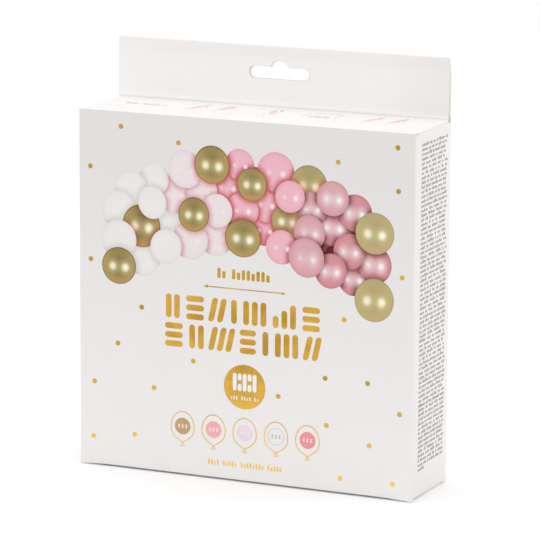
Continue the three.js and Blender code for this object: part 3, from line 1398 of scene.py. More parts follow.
@dataclass
class DustFlap:
    """A flap under the lid, and the crease that joins it to its side wall."""

    sizes: CartonSizes
    finishes: list[Finish]
    side: Side
    near_x: float = 86.3
    far_x: float = 48.7
    crease_steps: int = 8
    crease_smooth: float = 60.0

    @property
    def body(self) -> str:
        """The name of the flap's body."""
        return f"dust_flap_{self.side.name.lower()}"

    @property
    def line(self) -> float:
        """The height of the flap's middle line."""
        return self.sizes.flap_top - self.sizes.half_board

    def _folded(self, name: str, path: list[Vector]) -> Workpiece:
        """Sweep a strip between the flap's two edges.

        Args:
            name: the piece's name.
            path: the right-hand flap's offsets across and up.

        Returns:
            The strip, in edit mode.
        """
        start = Vector((0, -self.sizes.flap_tuck_edge, 0))
        end = Vector((0, self.sizes.flap_plain_edge, 0))
        return Workpiece.strip(name, crosswise(path, self.side.value), start, end)

    def panel(self) -> None:
        """Make the flap with its rounded corners, which rides on its own body."""
        sizes = self.sizes
        path = [Vector((self.near_x, self.line)), Vector((self.far_x, self.line))]
        flap = self._folded(f"{self.body}_panel", path)
        flap.face((0, 0, 1))
        tip = self.side.value * self.far_x
        tuck, plain = Vector((tip, -sizes.flap_tuck_edge)), Vector((tip, sizes.flap_plain_edge))
        flap.round_flap(sizes, tuck, plain)
        flap.thicken(self.finishes, sizes.board)
        piece = flap.finish("uncoated_board")
        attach(piece, self.body)
        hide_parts(self.body)

    def crease(self) -> None:
        """Make the crease that joins the side wall to the flap."""
        sizes, sign, radius = self.sizes, self.side.value, self.sizes.crease
        path = [Vector((sizes.line_x, sizes.shoulder))]
        path += arc((sizes.line_x - radius, self.line - radius), radius, 0, 90, self.crease_steps)
        path.append(Vector((self.near_x, self.line)))
        crease = self._folded(f"{self.body}_crease", path)
        crease.face((sign, 0, 0))
        crease.thicken(self.finishes, sizes.board)
        piece = crease.finish("white_board", smooth=self.crease_smooth)
        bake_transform(piece)


class Stamp:
    """A flat printed shape about its own middle, modelled once and laid many times."""

    def __init__(self, name: str) -> None:
        """Keep the active object's mesh as the stamp, and put the object away.

        Args:
            name: the stamp's name.
        """
        item = bpy.context.object
        bpy.ops.object.mode_set(mode="OBJECT")
        self.mesh = item.data
        self.mesh.name = name
        bpy.data.objects.remove(item)

    @classmethod
    def disc(cls, sides: int = 48) -> "Stamp":
        """Make a disc of radius 1.

        Args:
            sides: how many sides it has.

        Returns:
            The stamp.
        """
        clear_selection()
        bpy.ops.mesh.primitive_circle_add(vertices=sides, radius=1, fill_type="NGON")
        return cls("disc_stamp")

    @classmethod
    def ball(cls, sides: int = 32, rings: int = 16) -> "Stamp":
        """Make a disc of radius 1 from half a ball pressed flat, with its rings closer at the rim.

        Args:
            sides: how many sides it has.
            rings: how many rings the whole ball has.

        Returns:
            The stamp.
        """
        clear_selection()
        bpy.ops.mesh.primitive_uv_sphere_add(segments=sides, ring_count=rings, radius=1)
        edit_all()
        bpy.ops.mesh.bisect(plane_co=(0, 0, 0), plane_no=(0, 0, 1), clear_inner=True)
        bpy.ops.mesh.select_all(action="SELECT")
        bpy.ops.transform.resize(value=(1, 1, 0))
        return cls("ball_stamp")

    @classmethod
    def bar(cls, width: float, height: float, radius: float, steps: int = 5) -> "Stamp":
        """Make a bar with rounded corners.

        Args:
            width: its width.
            height: its height.
            radius: the radius of its corners.
            steps: how many straight pieces each corner has.

        Returns:
            The stamp.
        """
        clear_selection()
        bpy.ops.mesh.primitive_plane_add(size=1)
        bpy.context.object.scale = (width, height, 1)
        bpy.ops.object.transform_apply(scale=True)
        edit_all()
        bpy.ops.mesh.bevel(offset=radius, segments=steps, affect="VERTICES")
        return cls("bar_stamp")

    @classmethod
    def outline(
        cls, width: float, height: float, line: float, taper: float = 0.0, sides: int = 64, power: int = 4
    ) -> "Stamp":
        """Make a thin outline, round, drawn to a point below, or with a few straight sides.

        Args:
            width: its width.
            height: its height.
            line: the thickness of the line.
            taper: how far its lower half narrows, from 0 to 1.
            sides: how many sides it has.
            power: how late it narrows on the way down.

        Returns:
            The stamp.
        """
        clear_selection()
        bpy.ops.mesh.primitive_circle_add(vertices=sides, radius=0.5, fill_type="NGON")
        for vertex in bpy.context.object.data.vertices:
            below = max(-2 * vertex.co.y, 0)
            vertex.co.x *= width * (1 - taper * below**power)
            vertex.co.y *= height
        edit_all()
        bpy.ops.mesh.inset(thickness=line)
        bpy.ops.mesh.delete(type="FACE")
        return cls("outline_stamp")


@dataclass(frozen=True)
class Mark:
    """One stamp laid on a panel."""

    stamp: Stamp
    across: float
    up: float
    size: Pair = (1.0, 1.0)
    turn: float = 0.0
    slant: float = 0.0
    lift: float = INK_LIFT
    ink: Colour = (0.5, 0.5, 0.5)
    gloss: float = 1.0

    def on_panel(self, local: Vector) -> Pair:
        """Turn a point of the stamp into a place on the panel.

        Args:
            local: the point on the stamp.

        Returns:
            The place, across and up.
        """
        x = local.x * self.size[0] + local.y * self.size[1] * self.slant
        y = local.y * self.size[1]
        cosine, sine = math.cos(self.turn), math.sin(self.turn)
        return self.across + x * cosine - y * sine, self.up + x * sine + y * cosine

    def facing(self, local: Vector) -> Vector:
        """Turn a point of a stamp of radius 1 with the mark, and map it into the unit square."""
        return Matrix.Rotation(self.turn, 2) @ local.xy * 0.5 + Vector((0.5, 0.5))

    def ink_at(self, across: float, up: float) -> Colour:
        """Give the ink at a place on the panel."""
        return self.ink


@dataclass(frozen=True)
class FoilMark(Mark):
    """A mark of foil, which stands a little prouder than ink."""

    lift: float = 0.03


@dataclass(frozen=True)
class PressedMark(Mark):
    """A balloon's mark, which deepens toward the balloons that lie over it."""

    deep: Colour = (0.3, 0.3, 0.3)
    over: tuple[Triple, ...] = ()
    reach: float = 3.4
    power: float = 1.4

    def ink_at(self, across: float, up: float) -> Colour:
        """Deepen the ink beside the balloons that lie over this one.

        Args:
            across: the place across the panel.
            up: its height.

        Returns:
            The ink.
        """
        gaps = [math.hypot(across - x, up - z) - radius for x, z, radius in self.over]
        press = 1 - min(max(min(gaps, default=self.reach), 0) / self.reach, 1)
        return tuple(a + (b - a) * press**self.power for a, b in zip(self.ink, self.deep))


@dataclass(frozen=True)
class Panel:
    """A printed wall: its middle, the ways across and up it, its body, and how it sags."""

    origin: Vector
    across: Vector
    up: Vector
    body: str
    sag: Callable[[float, float], float]

    def point(self, across: float, up: float, lift: float) -> Vector:
        """Find the place so far across the panel, up it and proud of it."""
        out = self.across.cross(self.up)
        return self.origin + self.across * across + self.up * up + out * (lift - self.sag(across, up))

    def lay(self, name: str, marks: Iterable[Mark], finish: Finish, film: float = 0.05) -> None:
        """Lay marks on the panel as one thin film, which rides on the panel's body.

        Args:
            name: the piece's name.
            marks: what it is made of.
            finish: its ink or foil.
            film: how deep it goes.
        """
        sheet = bmesh.new()
        across = sheet.loops.layers.uv.new("across")
        ink = sheet.verts.layers.float_color.new("ink")
        for mark in marks:
            before_faces, before = len(sheet.faces), len(sheet.verts)
            sheet.from_mesh(mark.stamp.mesh)
            sheet.faces.ensure_lookup_table()
            sheet.verts.ensure_lookup_table()
            for face in sheet.faces[before_faces:]:
                for loop in face.loops:
                    loop[across].uv = mark.facing(loop.vert.co)
            for vertex in sheet.verts[before:]:
                place = mark.on_panel(vertex.co)
                vertex[ink] = (*mark.ink_at(*place), mark.gloss)
                vertex.co = self.point(*place, mark.lift)
        mesh = bpy.data.meshes.new(name)
        sheet.to_mesh(mesh)
        sheet.free()
        clear_selection()
        bpy.context.view_layer.objects.active = add_object(name, mesh)
        work = Workpiece(name)
        work.dress([finish])
        work.apply("SOLIDIFY", thickness=film, offset=-1.0)
        piece = work.finish("white_board", smooth=10)
        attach(piece, self.body)


@dataclass
class Balloon:
    """One balloon of the printed garland."""

    x: float
    z: float
    radius: float
    gold: bool = False
    level: int = 0

    def gap(self, other: "Balloon") -> float:
        """Measure how far apart two balloons are, which is less than nothing where they overlap."""
        return math.hypot(other.x - self.x, other.z - self.z) - other.radius - self.radius


@dataclass
class GarlandPicture:
    """A printed picture of a garland of balloons, of a made-up layout."""

    count: int = 42
    seed: int = 20
    left: float = -66.0
    right: float = 67.0
    foot: float = 106.0
    rise: float = 31.0
    tilt: float = -5.0
    blunt_end: float = 0.1
    half_band: float = 17.5
    smallest: float = 7.4
    largest: float = 10.0
    overlap: float = 0.82
    rounds: int = 160
    gold_count: int = 10
    gold_spacing: float = 21.0
    gold_raise: float = 0.3
    gold_ink: Colour = (1.0, 1.0, 1.0)
    gold_deep: Colour = (0.80, 0.36, 0.28)
    pale_from: float = 5 / 12
    pale_run: float = 5 / 9
    pale_share: float = 0.55
    filler_count: int = 66
    filler_end: float = 0.04
    filler_band: float = 0.62
    filler_size: Pair = (6.0, 6.0)
    layer: float = 0.008
    shadow_gap: float = 3.0
    colour_mingle: float = 7.0
    least_gloss: float = 0.7
    longest: float = 1.08
    widest_turn: float = 0.5
    palette: tuple[tuple[float, Colour, Colour, float], ...] = (
        (0.24, (0.765, 0.742, 0.73), (0.60, 0.56, 0.53), 0.12),
        (0.40, (0.77, 0.69, 0.70), (0.62, 0.28, 0.31), 0.4),
        (0.70, (0.79, 0.425, 0.505), (0.48, 0.035, 0.03), 0.9),
        (0.83, (0.65, 0.35, 0.38), (0.20, 0.02, 0.02), 0.75),
        (1.20, (0.61, 0.25, 0.28), (0.16, 0.015, 0.015), 0.95),
    )

    def _middle(self, along: float) -> Pair:
        """Find the middle of the arc, from 0 at its left end to 1 at its right."""
        turn = math.pi * (self.blunt_end + (1 - 2 * self.blunt_end) * along)
        height = self.foot + self.rise * math.sin(turn) + self.tilt * (along - 0.5)
        return self.left + (self.right - self.left) * along, height

    def _along(self, x: float) -> float:
        """Turn a place across the wall into a place along the arc."""
        return (x - self.left) / (self.right - self.left)

    def _settle(self) -> list[Balloon]:
        """Scatter balloons along the arc and let them push one another apart.

        Returns:
            The balloons.
        """
        draw = random.Random(self.seed)
        balloons = []
        for i in range(self.count):
            x, z = self._middle((i + draw.random()) / self.count)
            off = draw.uniform(-1, 1) * self.half_band
            balloons.append(Balloon(x, z + off, draw.uniform(self.smallest, self.largest)))
        for _ in range(self.rounds):
            for i, first in enumerate(balloons):
                for second in balloons[:i]:
                    self._push(first, second)
            for balloon in balloons:
                self._hold(balloon)
        return balloons

    def _push(self, first: Balloon, second: Balloon) -> None:
        """Push two balloons apart where they overlap too far."""
        apart = Vector((second.x - first.x, second.z - first.z))
        wanted = self.overlap * (first.radius + second.radius)
        if 0 < apart.length < wanted:
            push = apart.normalized() * (wanted - apart.length) / 2
            first.x, first.z = first.x - push.x, first.z - push.y
            second.x, second.z = second.x + push.x, second.z + push.y

    def _hold(self, balloon: Balloon) -> None:
        """Keep one balloon's middle inside the arc's band."""
        balloon.x = min(max(balloon.x, self.left), self.right)
        middle = self._middle(self._along(balloon.x))[1]
        balloon.z = min(max(balloon.z, middle - self.half_band), middle + self.half_band)

    def _stack(self, draw: random.Random) -> list[Balloon]:
        """Choose the gold balloons, and lay all of them over one another.

        Args:
            draw: the source of the order.

        Returns:
            The balloons from the lowest to the highest.
        """
        balloons = self._settle()
        draw.shuffle(balloons)
        golds: list[Balloon] = []
        for balloon in balloons:
            alone = all(math.hypot(g.x - balloon.x, g.z - balloon.z) > self.gold_spacing for g in golds)
            balloon.gold = alone and len(golds) < self.gold_count
            if balloon.gold:
                golds.append(balloon)
        balloons.sort(key=lambda balloon: draw.random() + self.gold_raise * balloon.gold)
        for i, balloon in enumerate(balloons):
            under = [other.level for other in balloons[:i] if other.gap(balloon) < 0]
            balloon.level = max(under, default=0) + 1
        return balloons

    def _inks(self, x: float) -> tuple[Colour, Colour, float]:
        """Pick the colour, its deep shade and its gloss at a place along the arc."""
        along = self._along(x)
        return next((ink, deep, gloss) for stop, ink, deep, gloss in self.palette if along < stop)

    def _fillers(self, disc: Stamp, draw: random.Random) -> list[Mark]:
        """Fill the gaps inside the arc with the deep shade between balloons.

        Args:
            disc: the stamp of a balloon.
            draw: the source of their places.

        Returns:
            The marks.
        """
        marks = []
        for i in range(self.filler_count):
            x, z = self._middle(self.filler_end + (1 - 2 * self.filler_end) * i / (self.filler_count - 1))
            off = (i % 3 - 1) * self.filler_band * self.half_band + draw.uniform(-1, 1)
            marks.append(Mark(disc, x, z + off, size=self.filler_size, ink=self._inks(x)[1], gloss=0))
        return marks

    def marks(self, disc: Stamp) -> tuple[list[Mark], list[Mark]]:
        """Lay the balloons over one another.

        Args:
            disc: the stamp of a balloon.

        Returns:
            The rubber balloons and the chrome ones.
        """
        draw = random.Random(self.seed + 1)
        balloons = self._stack(draw)
        rubber, chrome = self._fillers(disc, draw), []
        for balloon in balloons:
            over = tuple(
                (other.x, other.z, other.radius)
                for other in balloons
                if other.level > balloon.level and other.gap(balloon) < self.shadow_gap
            )
            stray = draw.uniform(-self.colour_mingle, self.colour_mingle)
            ink, deep, gloss = self._inks(balloon.x + stray)
            gloss *= draw.uniform(self.least_gloss, 1.0)
            if balloon.gold:
                ink, deep = self.gold_ink, self.gold_deep
                fade = (self._along(balloon.x) - self.pale_from) / self.pale_run
                gloss = 1 - self.pale_share * smooth(fade)
            mark = PressedMark(
                disc,
                balloon.x,
                balloon.z,
                size=(balloon.radius, balloon.radius * draw.uniform(1.0, self.longest)),
                turn=draw.uniform(-self.widest_turn, self.widest_turn),
                lift=INK_LIFT + self.layer * balloon.level,
                ink=ink,
                gloss=gloss,
                deep=deep,
                over=over,
            )
            (chrome if balloon.gold else rubber).append(mark)
        return rubber, chrome


class Figure(Enum):
    """The plain stroke groups that stand in the place of lettering."""

    UPRIGHTS = "uprights"
    STACK = "stack"
    SLANTS = "slants"
    BAR = "bar"
    STEPS = "steps"


@dataclass(frozen=True)
class StrokeRow:
    """A row of stroke groups, each with its width, between two edges at a height."""

    left: float
    right: float
    up: float
    figures: tuple[tuple[Figure, float], ...]


UPPER_ROW = StrokeRow(
    -41.0,
    39.5,
    83.4,
    (
        (Figure.UPRIGHTS, 7.4), (Figure.STACK, 9.4), (Figure.SLANTS, 7.6), (Figure.BAR, 3.0),
        (Figure.UPRIGHTS, 12.0), (Figure.STEPS, 12.0), (Figure.STACK, 9.0),
    ),
)
LOWER_ROW = StrokeRow(
    -41.4,
    39.5,
    69.3,
    (
        (Figure.STACK, 9.4), (Figure.UPRIGHTS, 7.6), (Figure.SLANTS, 12.0), (Figure.STACK, 8.4),
        (Figure.BAR, 3.0), (Figure.UPRIGHTS, 12.0), (Figure.SLANTS, 7.6),
    ),
)


@dataclass(frozen=True)
class TickRow:
    """A row of small upright ticks, in words of some length, about a middle at a height."""

    words: tuple[int, ...]
    middle: float
    up: float
    width: float
    height: float
    gap: float
    short: float = 0.72
    rounding: float = 0.4

    def marks(self, lift: float = FoilMark.lift, ink: Colour = Mark.ink) -> list[Mark]:
        """Lay the ticks, of which some are shorter.

        Args:
            lift: how far they stand off the wall.
            ink: their ink.

        Returns:
            The ticks.
        """
        bar = Stamp.bar(self.width, self.height, self.width * self.rounding, steps=3)
        pitch = self.width + self.gap
        total = sum(self.words) * pitch + (len(self.words) - 1) * pitch
        at = self.middle - total / 2 + pitch / 2
        marks = []
        for count in self.words:
            for i in range(count):
                tall = 1.0 if (i * 7 + count) % 3 else self.short
                foot = self.up - self.height * (1 - tall) / 2
                marks.append(Mark(bar, at, foot, size=(1, tall), lift=lift, ink=ink))
                at += pitch
            at += pitch
        return marks


@dataclass(frozen=True)
class FoilDots:
    """Round foil dots on a wall."""

    panel: Panel
    foil: Finish
    radius: float = 1.25
    sides: int = 24

    def lay(self, name: str, places: Iterable[Pair]) -> None:
        """Lay a dot at each place across and up the wall, as one piece."""
        disc, size = Stamp.disc(self.sides), (self.radius, self.radius)
        self.panel.lay(name, [FoilMark(disc, x, z, size=size) for x, z in places], self.foil)


@dataclass
class FrontPrint:
    """The foil and colour on the front wall."""

    sizes: CartonSizes
    panel: Panel
    foil: Finish
    ink: Finish
    picture_film: float = 0.16
    dot_count: int = 24
    dot_spacing: float = 20.0
    dot_seed: int = 5
    dot_margins: Pair = (6.0, 7.0)
    picture_top: float = 134.0
    picture_drop: float = 40.8
    picture_half_width: float = 81.0
    picture_half_height: float = 34.0
    badge_room: float = 17.0
    full_blocks: tuple[Triple, ...] = ((47, 59, 108), (43, 3, 36))
    title_height: float = 11.7
    title_stroke: float = 3.0
    title_gap: float = 1.5
    title_slant: float = 0.22
    title_rounding: float = 0.49
    stack_rows: int = 3
    upper_caption: TickRow = TickRow((2, 8), -0.2, 101.6, 1.7, 4.9, 0.85)
    foot_caption: TickRow = TickRow((4, 5, 8, 5), 0.9, 8.6, 0.95, 2.7, 0.62)
    arrow_middle: Pair = (0.5, 94.6)
    arrow_length: float = 40.0
    arrow_head: Pair = (0.95, 1.5)
    arrow_tip: float = 20.1
    badge_middle: Pair = (0.7, 47.1)
    badge_radius: float = 10.9
    badge_sides: int = 72
    badge_row: float = 2.2
    badge_bar: Triple = (2.0, 8.6, 0.95)
    badge_half_bar: Triple = (2.0, 3.5, 0.95)
    badge_pitch: float = 2.6
    badge_split: float = 2.55
    badge_ticks: TickRow = TickRow((3, 4, 2), 0.7, 41.5, 0.62, 1.9, 0.75)
    icon_row: float = 24.0
    icon_pitch: float = 16.4
    icon_shift: float = 0.85
    icon_size: Pair = (12.8, 15.9)
    icon_taper: float = 0.9
    knot_size: Pair = (3.3, 2.8)
    knot_line: float = 0.4
    knot_drop: float = 0.75
    icon_rise: float = 0.5
    icon_disc: float = 4.15
    icon_sides: int = 40
    icon_ring: float = 8.4
    ring_line: float = 0.22
    icon_tick: Triple = (0.72, 2.0, 0.3)
    tick_pitch: float = 1.9
    icon_grey: Colour = (0.45, 0.45, 0.45)
    icon_fills: tuple[Colour | None, ...] = (
        (0.47, 0.30, 0.10),
        (0.83, 0.37, 0.39),
        (0.79, 0.64, 0.71),
        None,
        (0.82, 0.24, 0.255),
    )
    line: float = 0.5
    line_rounding: float = 0.4

    def _figure(self, figure: Figure, left: float, width: float, middle: float) -> list[Mark]:
        """Lay one group of strokes.

        Args:
            figure: which group.
            left: its left edge.
            width: its width.
            middle: the height of its middle.

        Returns:
            Its strokes.
        """
        stroke, high, gap = self.title_stroke, self.title_height, self.title_gap
        if figure is Figure.STACK:
            thick = (high - gap * (self.stack_rows - 1)) / self.stack_rows
            bar = Stamp.bar(width, thick, thick * self.title_rounding)
            rows = [middle + (i - 1) * (thick + gap) for i in range(self.stack_rows)]
            return [FoilMark(bar, left + width / 2, row) for row in rows]
        if figure is Figure.BAR:
            bar = Stamp.bar(width, high, width * self.title_rounding)
            return [FoilMark(bar, left + width / 2, middle)]
        count = max(2, round((width + gap) / (stroke + gap)))
        pitch = (width - stroke) / (count - 1)
        slant = self.title_slant if figure is Figure.SLANTS else 0.0
        marks = []
        for i in range(count):
            tall = high * (1 if figure is not Figure.STEPS else (i + 2) / (count + 1))
            bar = Stamp.bar(stroke, tall, stroke * self.title_rounding)
            base = middle - high / 2 + tall / 2
            marks.append(FoilMark(bar, left + stroke / 2 + i * pitch, base, slant=slant))
        return marks

    def title(self) -> None:
        """Lay the two rows of wide foil strokes."""
        marks = []
        for row in (UPPER_ROW, LOWER_ROW):
            widths = sum(width for _, width in row.figures)
            gap = (row.right - row.left - widths) / (len(row.figures) - 1)
            left = row.left
            for figure, width in row.figures:
                marks += self._figure(figure, left, width, row.up)
                left += width + gap
        self.panel.lay("foil_title_strokes", marks, self.foil)

    def captions(self) -> None:
        """Lay the small foil strokes over the title and at the foot of the wall."""
        marks = self.upper_caption.marks() + self.foot_caption.marks()
        self.panel.lay("foil_caption_strokes", marks, self.foil)

    def arrow(self) -> None:
        """Lay the thin double-ended line under the upper caption."""
        x, z = self.arrow_middle
        shaft = Stamp.bar(self.arrow_length, self.line, self.line * self.line_rounding)
        head = Stamp.disc(3)
        marks = [FoilMark(shaft, x, z)]
        for end in (-1, 1):
            tip, turn = x + self.arrow_tip * end, -end * math.pi / 2
            marks.append(FoilMark(head, tip, z, size=self.arrow_head, turn=turn))
        self.panel.lay("foil_arrow", marks, self.foil)

    def dots(self) -> None:
        """Scatter foil dots over the bare parts of the wall."""
        draw = random.Random(self.dot_seed)
        side, end = self.dot_margins
        half = self.sizes.side - side
        places: list[Pair] = []
        while len(places) < self.dot_count:
            spot = (draw.uniform(-half, half), draw.uniform(end, self.sizes.height - end))
            apart = all(math.hypot(spot[0] - x, spot[1] - z) > self.dot_spacing for x, z in places)
            if apart and not self._taken(*spot):
                places.append(spot)
        FoilDots(self.panel, self.foil).lay("foil_dots", places)

    def _taken(self, x: float, z: float) -> bool:
        """Tell whether a place belongs to the picture, the strokes or the icons.

        Args:
            x: the place across the wall.
            z: its height.

        Returns:
            Whether it is taken.
        """
        middle = self.picture_top - self.picture_drop * (x / self.sizes.side) ** 2
        in_picture = abs(x) < self.picture_half_width and abs(z - middle) < self.picture_half_height
        in_badge = math.hypot(x, z - self.badge_middle[1]) < self.badge_room
        in_block = any(abs(x) < half and low < z < high for half, low, high in self.full_blocks)
        return in_picture or in_badge or in_block

    def badge(self) -> None:
        """Lay the round foil badge, with bare strokes left in it."""
        x, z = self.badge_middle
        disc, size = Stamp.disc(self.badge_sides), (self.badge_radius, self.badge_radius)
        self.panel.lay("foil_badge", [FoilMark(disc, x, z, size=size)], self.foil)
        bar, half_bar = Stamp.bar(*self.badge_bar), Stamp.bar(*self.badge_half_bar)
        row = z + self.badge_row
        marks = []
        for i in (-2, 0, 2):
            marks.append(Mark(bar, x + i * self.badge_pitch, row, lift=STROKE_LIFT, ink=PRINT_WHITE))
        for i in (-1, 1):
            for up in (row - self.badge_split, row + self.badge_split):
                marks.append(Mark(half_bar, x + i * self.badge_pitch, up, lift=STROKE_LIFT, ink=PRINT_WHITE))
        marks += self.badge_ticks.marks(STROKE_LIFT, PRINT_WHITE)
        self.panel.lay("badge_strokes", marks, self.ink)

    def icons(self) -> None:
        """Lay the row of outlined balloons with a coloured disc or a grey ring in each."""
        balloon = Stamp.outline(*self.icon_size, self.line, taper=self.icon_taper)
        knot = Stamp.outline(*self.knot_size, self.knot_line, sides=3)
        disc, size = Stamp.disc(self.icon_sides), (self.icon_disc, self.icon_disc)
        ring = Stamp.outline(self.icon_ring, self.icon_ring, self.ring_line)
        tick = Stamp.bar(*self.icon_tick, steps=3)
        knot_row = self.icon_row - self.icon_size[1] / 2 - self.knot_drop
        up = self.icon_row + self.icon_rise
        foil, flat = [], []
        for i, fill in enumerate(self.icon_fills):
            x = (i - 2) * self.icon_pitch + self.icon_shift
            foil.append(FoilMark(balloon, x, self.icon_row))
            foil.append(FoilMark(knot, x, knot_row))
            if fill:
                flat.append(Mark(disc, x, up, size=size, ink=fill))
            else:
                flat.append(Mark(ring, x, up, ink=self.icon_grey))
            ink = PRINT_WHITE if fill else self.icon_grey
            for k in (-1, 0, 1):
                flat.append(Mark(tick, x + k * self.tick_pitch, up, lift=TICK_LIFT, ink=ink))
        self.panel.lay("foil_balloon_outlines", foil, self.foil)
        self.panel.lay("icon_discs", flat, self.ink)

    def picture(self) -> None:
        """Lay the printed garland."""
        rubber, chrome = GarlandPicture().marks(Stamp.ball())
        finish = PrintedBalloon().material()
        self.panel.lay("printed_rubber_balloons", rubber, finish, film=self.picture_film)
        finish = PrintedBalloon(name="printed_chrome_balloon", chrome=True).material()
        self.panel.lay("printed_chrome_balloons", chrome, finish, film=self.picture_film)

    def build(self) -> None:
        """Print the whole wall."""
        self.picture()
        self.captions()
        self.arrow()
        self.title()
        self.badge()
        self.icons()
        self.dots()


@dataclass(frozen=True)
class PrintBlock:
    """Where a block of small print stands: its edges, its first row, and the step from row to row."""

    rows: int
    left: float
    right: float
    top: float
    step: float


@dataclass
class SmallPrint:
    """Rows of tiny dark ticks, in words of uneven length."""

    panel: Panel
    ink: Finish
    block: PrintBlock = PrintBlock(71, -15.1, 17.5, 169.4, 2.22)
    seed: int = 3
    tick: Pair = (0.54, 1.1)
    pitch: float = 0.92
    tone: Colour = (0.085, 0.070, 0.064)
    bold: float = 1.2
    bold_share: float = 0.04
    last_share: float = 0.3
    word: tuple[int, int] = (2, 9)
    spaces: Pair = (0.8, 2.2)
    heights: tuple[float, ...] = (1.0, 1.0, 1.0, 1.45)
    ragged: float = 1.5
    rounding: float = 0.12

    def _row(self, draw: random.Random, left: float, right: float, up: float, bar: Stamp) -> list[Mark]:
        """Fill one row with words.

        Args:
            draw: the source of uneven lengths.
            left: where it starts.
            right: where it ends.
            up: its height.
            bar: a tick's stamp.

        Returns:
            The row's ticks.
        """
        marks = []
        at = left
        bold = self.bold if draw.random() < self.bold_share else 1.0
        space = self.pitch * draw.uniform(*self.spaces)
        while at < right - self.pitch:
            for _ in range(draw.randint(*self.word)):
                if at < right:
                    tall = draw.choice(self.heights)
                    middle = up + (tall - 1) * self.tick[1] / 2
                    marks.append(Mark(bar, at, middle, size=(bold, tall), ink=self.tone))
                at += self.pitch
            at += space
        return marks

    def build(self, name: str) -> None:
        """Print the block as one piece, with its last row short."""
        draw, block = random.Random(self.seed), self.block
        bar = Stamp.bar(*self.tick, self.rounding, steps=1)
        marks = []
        for i in range(block.rows):
            if i < block.rows - 1:
                end = block.right - draw.uniform(0, self.ragged)
            else:
                end = block.left + self.last_share * (block.right - block.left)
            marks += self._row(draw, block.left, end, block.top - i * block.step, bar)
        self.panel.lay(name, marks, self.ink)


@dataclass
class LidPrint:
    """A grey line of small print and small pictures on the lid: plain shapes in pink, gold and grey."""

    panel: Panel
    ink: Finish
    block: PrintBlock = PrintBlock(1, -74.0, -50.0, 3.0, 2.4)
    tick: Pair = (0.55, 3.2)
    pitch: float = 1.05
    tone: Colour = (0.43, 0.43, 0.42)
    pink: Colour = (0.84, 0.50, 0.50)
    gold: Colour = (0.66, 0.53, 0.38)
    grey: Colour = (0.50, 0.49, 0.45)
    disc_sides: int = 20
    line: Pair = (0.4, 0.1)
    places: tuple[float, ...] = (-36.9, -23.5, 1.6, 53.5, 65.8)
    leans: tuple[float, ...] = (-0.45, -0.15, 0.15)
    wide_place: float = 27.3
    depth: float = 6.5

    def _small(self, x: float, turn: float, disc: Stamp, line: Stamp) -> list[Mark]:
        """Lay one small picture: a long pink oval on a stem, with a ring of grey and gold beside it.

        Args:
            x: its middle.
            turn: how far it leans.
            disc: a disc's stamp.
            line: a line's stamp.

        Returns:
            Its marks.
        """
        y = self.depth
        return [
            Mark(disc, x, y + 1, size=(1.7, 6.2), turn=turn, ink=self.pink),
            FoilMark(disc, x + 2.2, y + 6.4, size=(0.8, 2.4), turn=turn, ink=self.gold),
            Mark(line, x - 1.6, y - 6, size=(7.5, 1), turn=math.pi / 2 + turn, ink=self.grey),
            Mark(line, x + 3.2, y + 2.5, size=(8.5, 1), turn=math.pi / 2 - turn, ink=self.grey),
        ]

    def _wide(self, disc: Stamp, line: Stamp) -> list[Mark]:
        """Lay the wide picture: a pink bar on two grey legs over a cluster of gold.

        Args:
            disc: a disc's stamp.
            line: a line's stamp.

        Returns:
            Its marks.
        """
        x, y = self.wide_place, self.depth
        marks = [Mark(line, x + 1, y + 7, size=(15, 2.4), ink=self.pink)]
        for sign in (-1, 1):
            marks.append(Mark(line, x + 8.2 * sign, y + 1, size=(12, 1), turn=math.pi / 2, ink=self.grey))
        for i in range(5):
            across, up = 2.2 * (i - 2), 1.5 * (i % 2) - 3
            marks.append(Mark(disc, x + across, y + up, size=(1.0, 2.6), ink=self.gold))
        return marks

    def build(self) -> None:
        """Print the line, then all the small pictures."""
        look = {"tick": self.tick, "pitch": self.pitch, "tone": self.tone, "last_share": 1.0}
        SmallPrint(self.panel, self.ink, self.block, **look).build("lid_small_print")
        disc, line = Stamp.disc(self.disc_sides), Stamp.bar(1.0, *self.line, steps=1)
        marks = self._wide(disc, line)
        for i, x in enumerate(self.places):
            marks += self._small(x, self.leans[i % len(self.leans)], disc, line)
        self.panel.lay("lid_pictures", marks, self.ink)


@dataclass
class PlainScatter:
    """A few foil dots on a wall that carries no other print."""

    dots: FoilDots
    half_width: float
    low: float = 14.0
    high: float = 164.0
    pitch: float = 27.0
    first: float = 0.3
    stray_across: float = 7.0
    stray_up: float = 4.0
    seed: int = 9

    def build(self, name: str) -> None:
        """Lay the dots on a loose grid, as one piece."""
        draw = random.Random(self.seed)
        places = []
        columns = max(1, round(2 * self.half_width / self.pitch))
        rows = round((self.high - self.low) / self.pitch)
        for i in range(columns):
            middle = -self.half_width + (i + 0.5) * 2 * self.half_width / columns
            for k in range(rows):
                row = self.low + (k + 0.5 * (i % 2) + self.first) * self.pitch
                x = middle + draw.uniform(-self.stray_across, self.stray_across)
                places.append((x, row + draw.uniform(-self.stray_up, self.stray_up)))
        self.dots.lay(name, places)


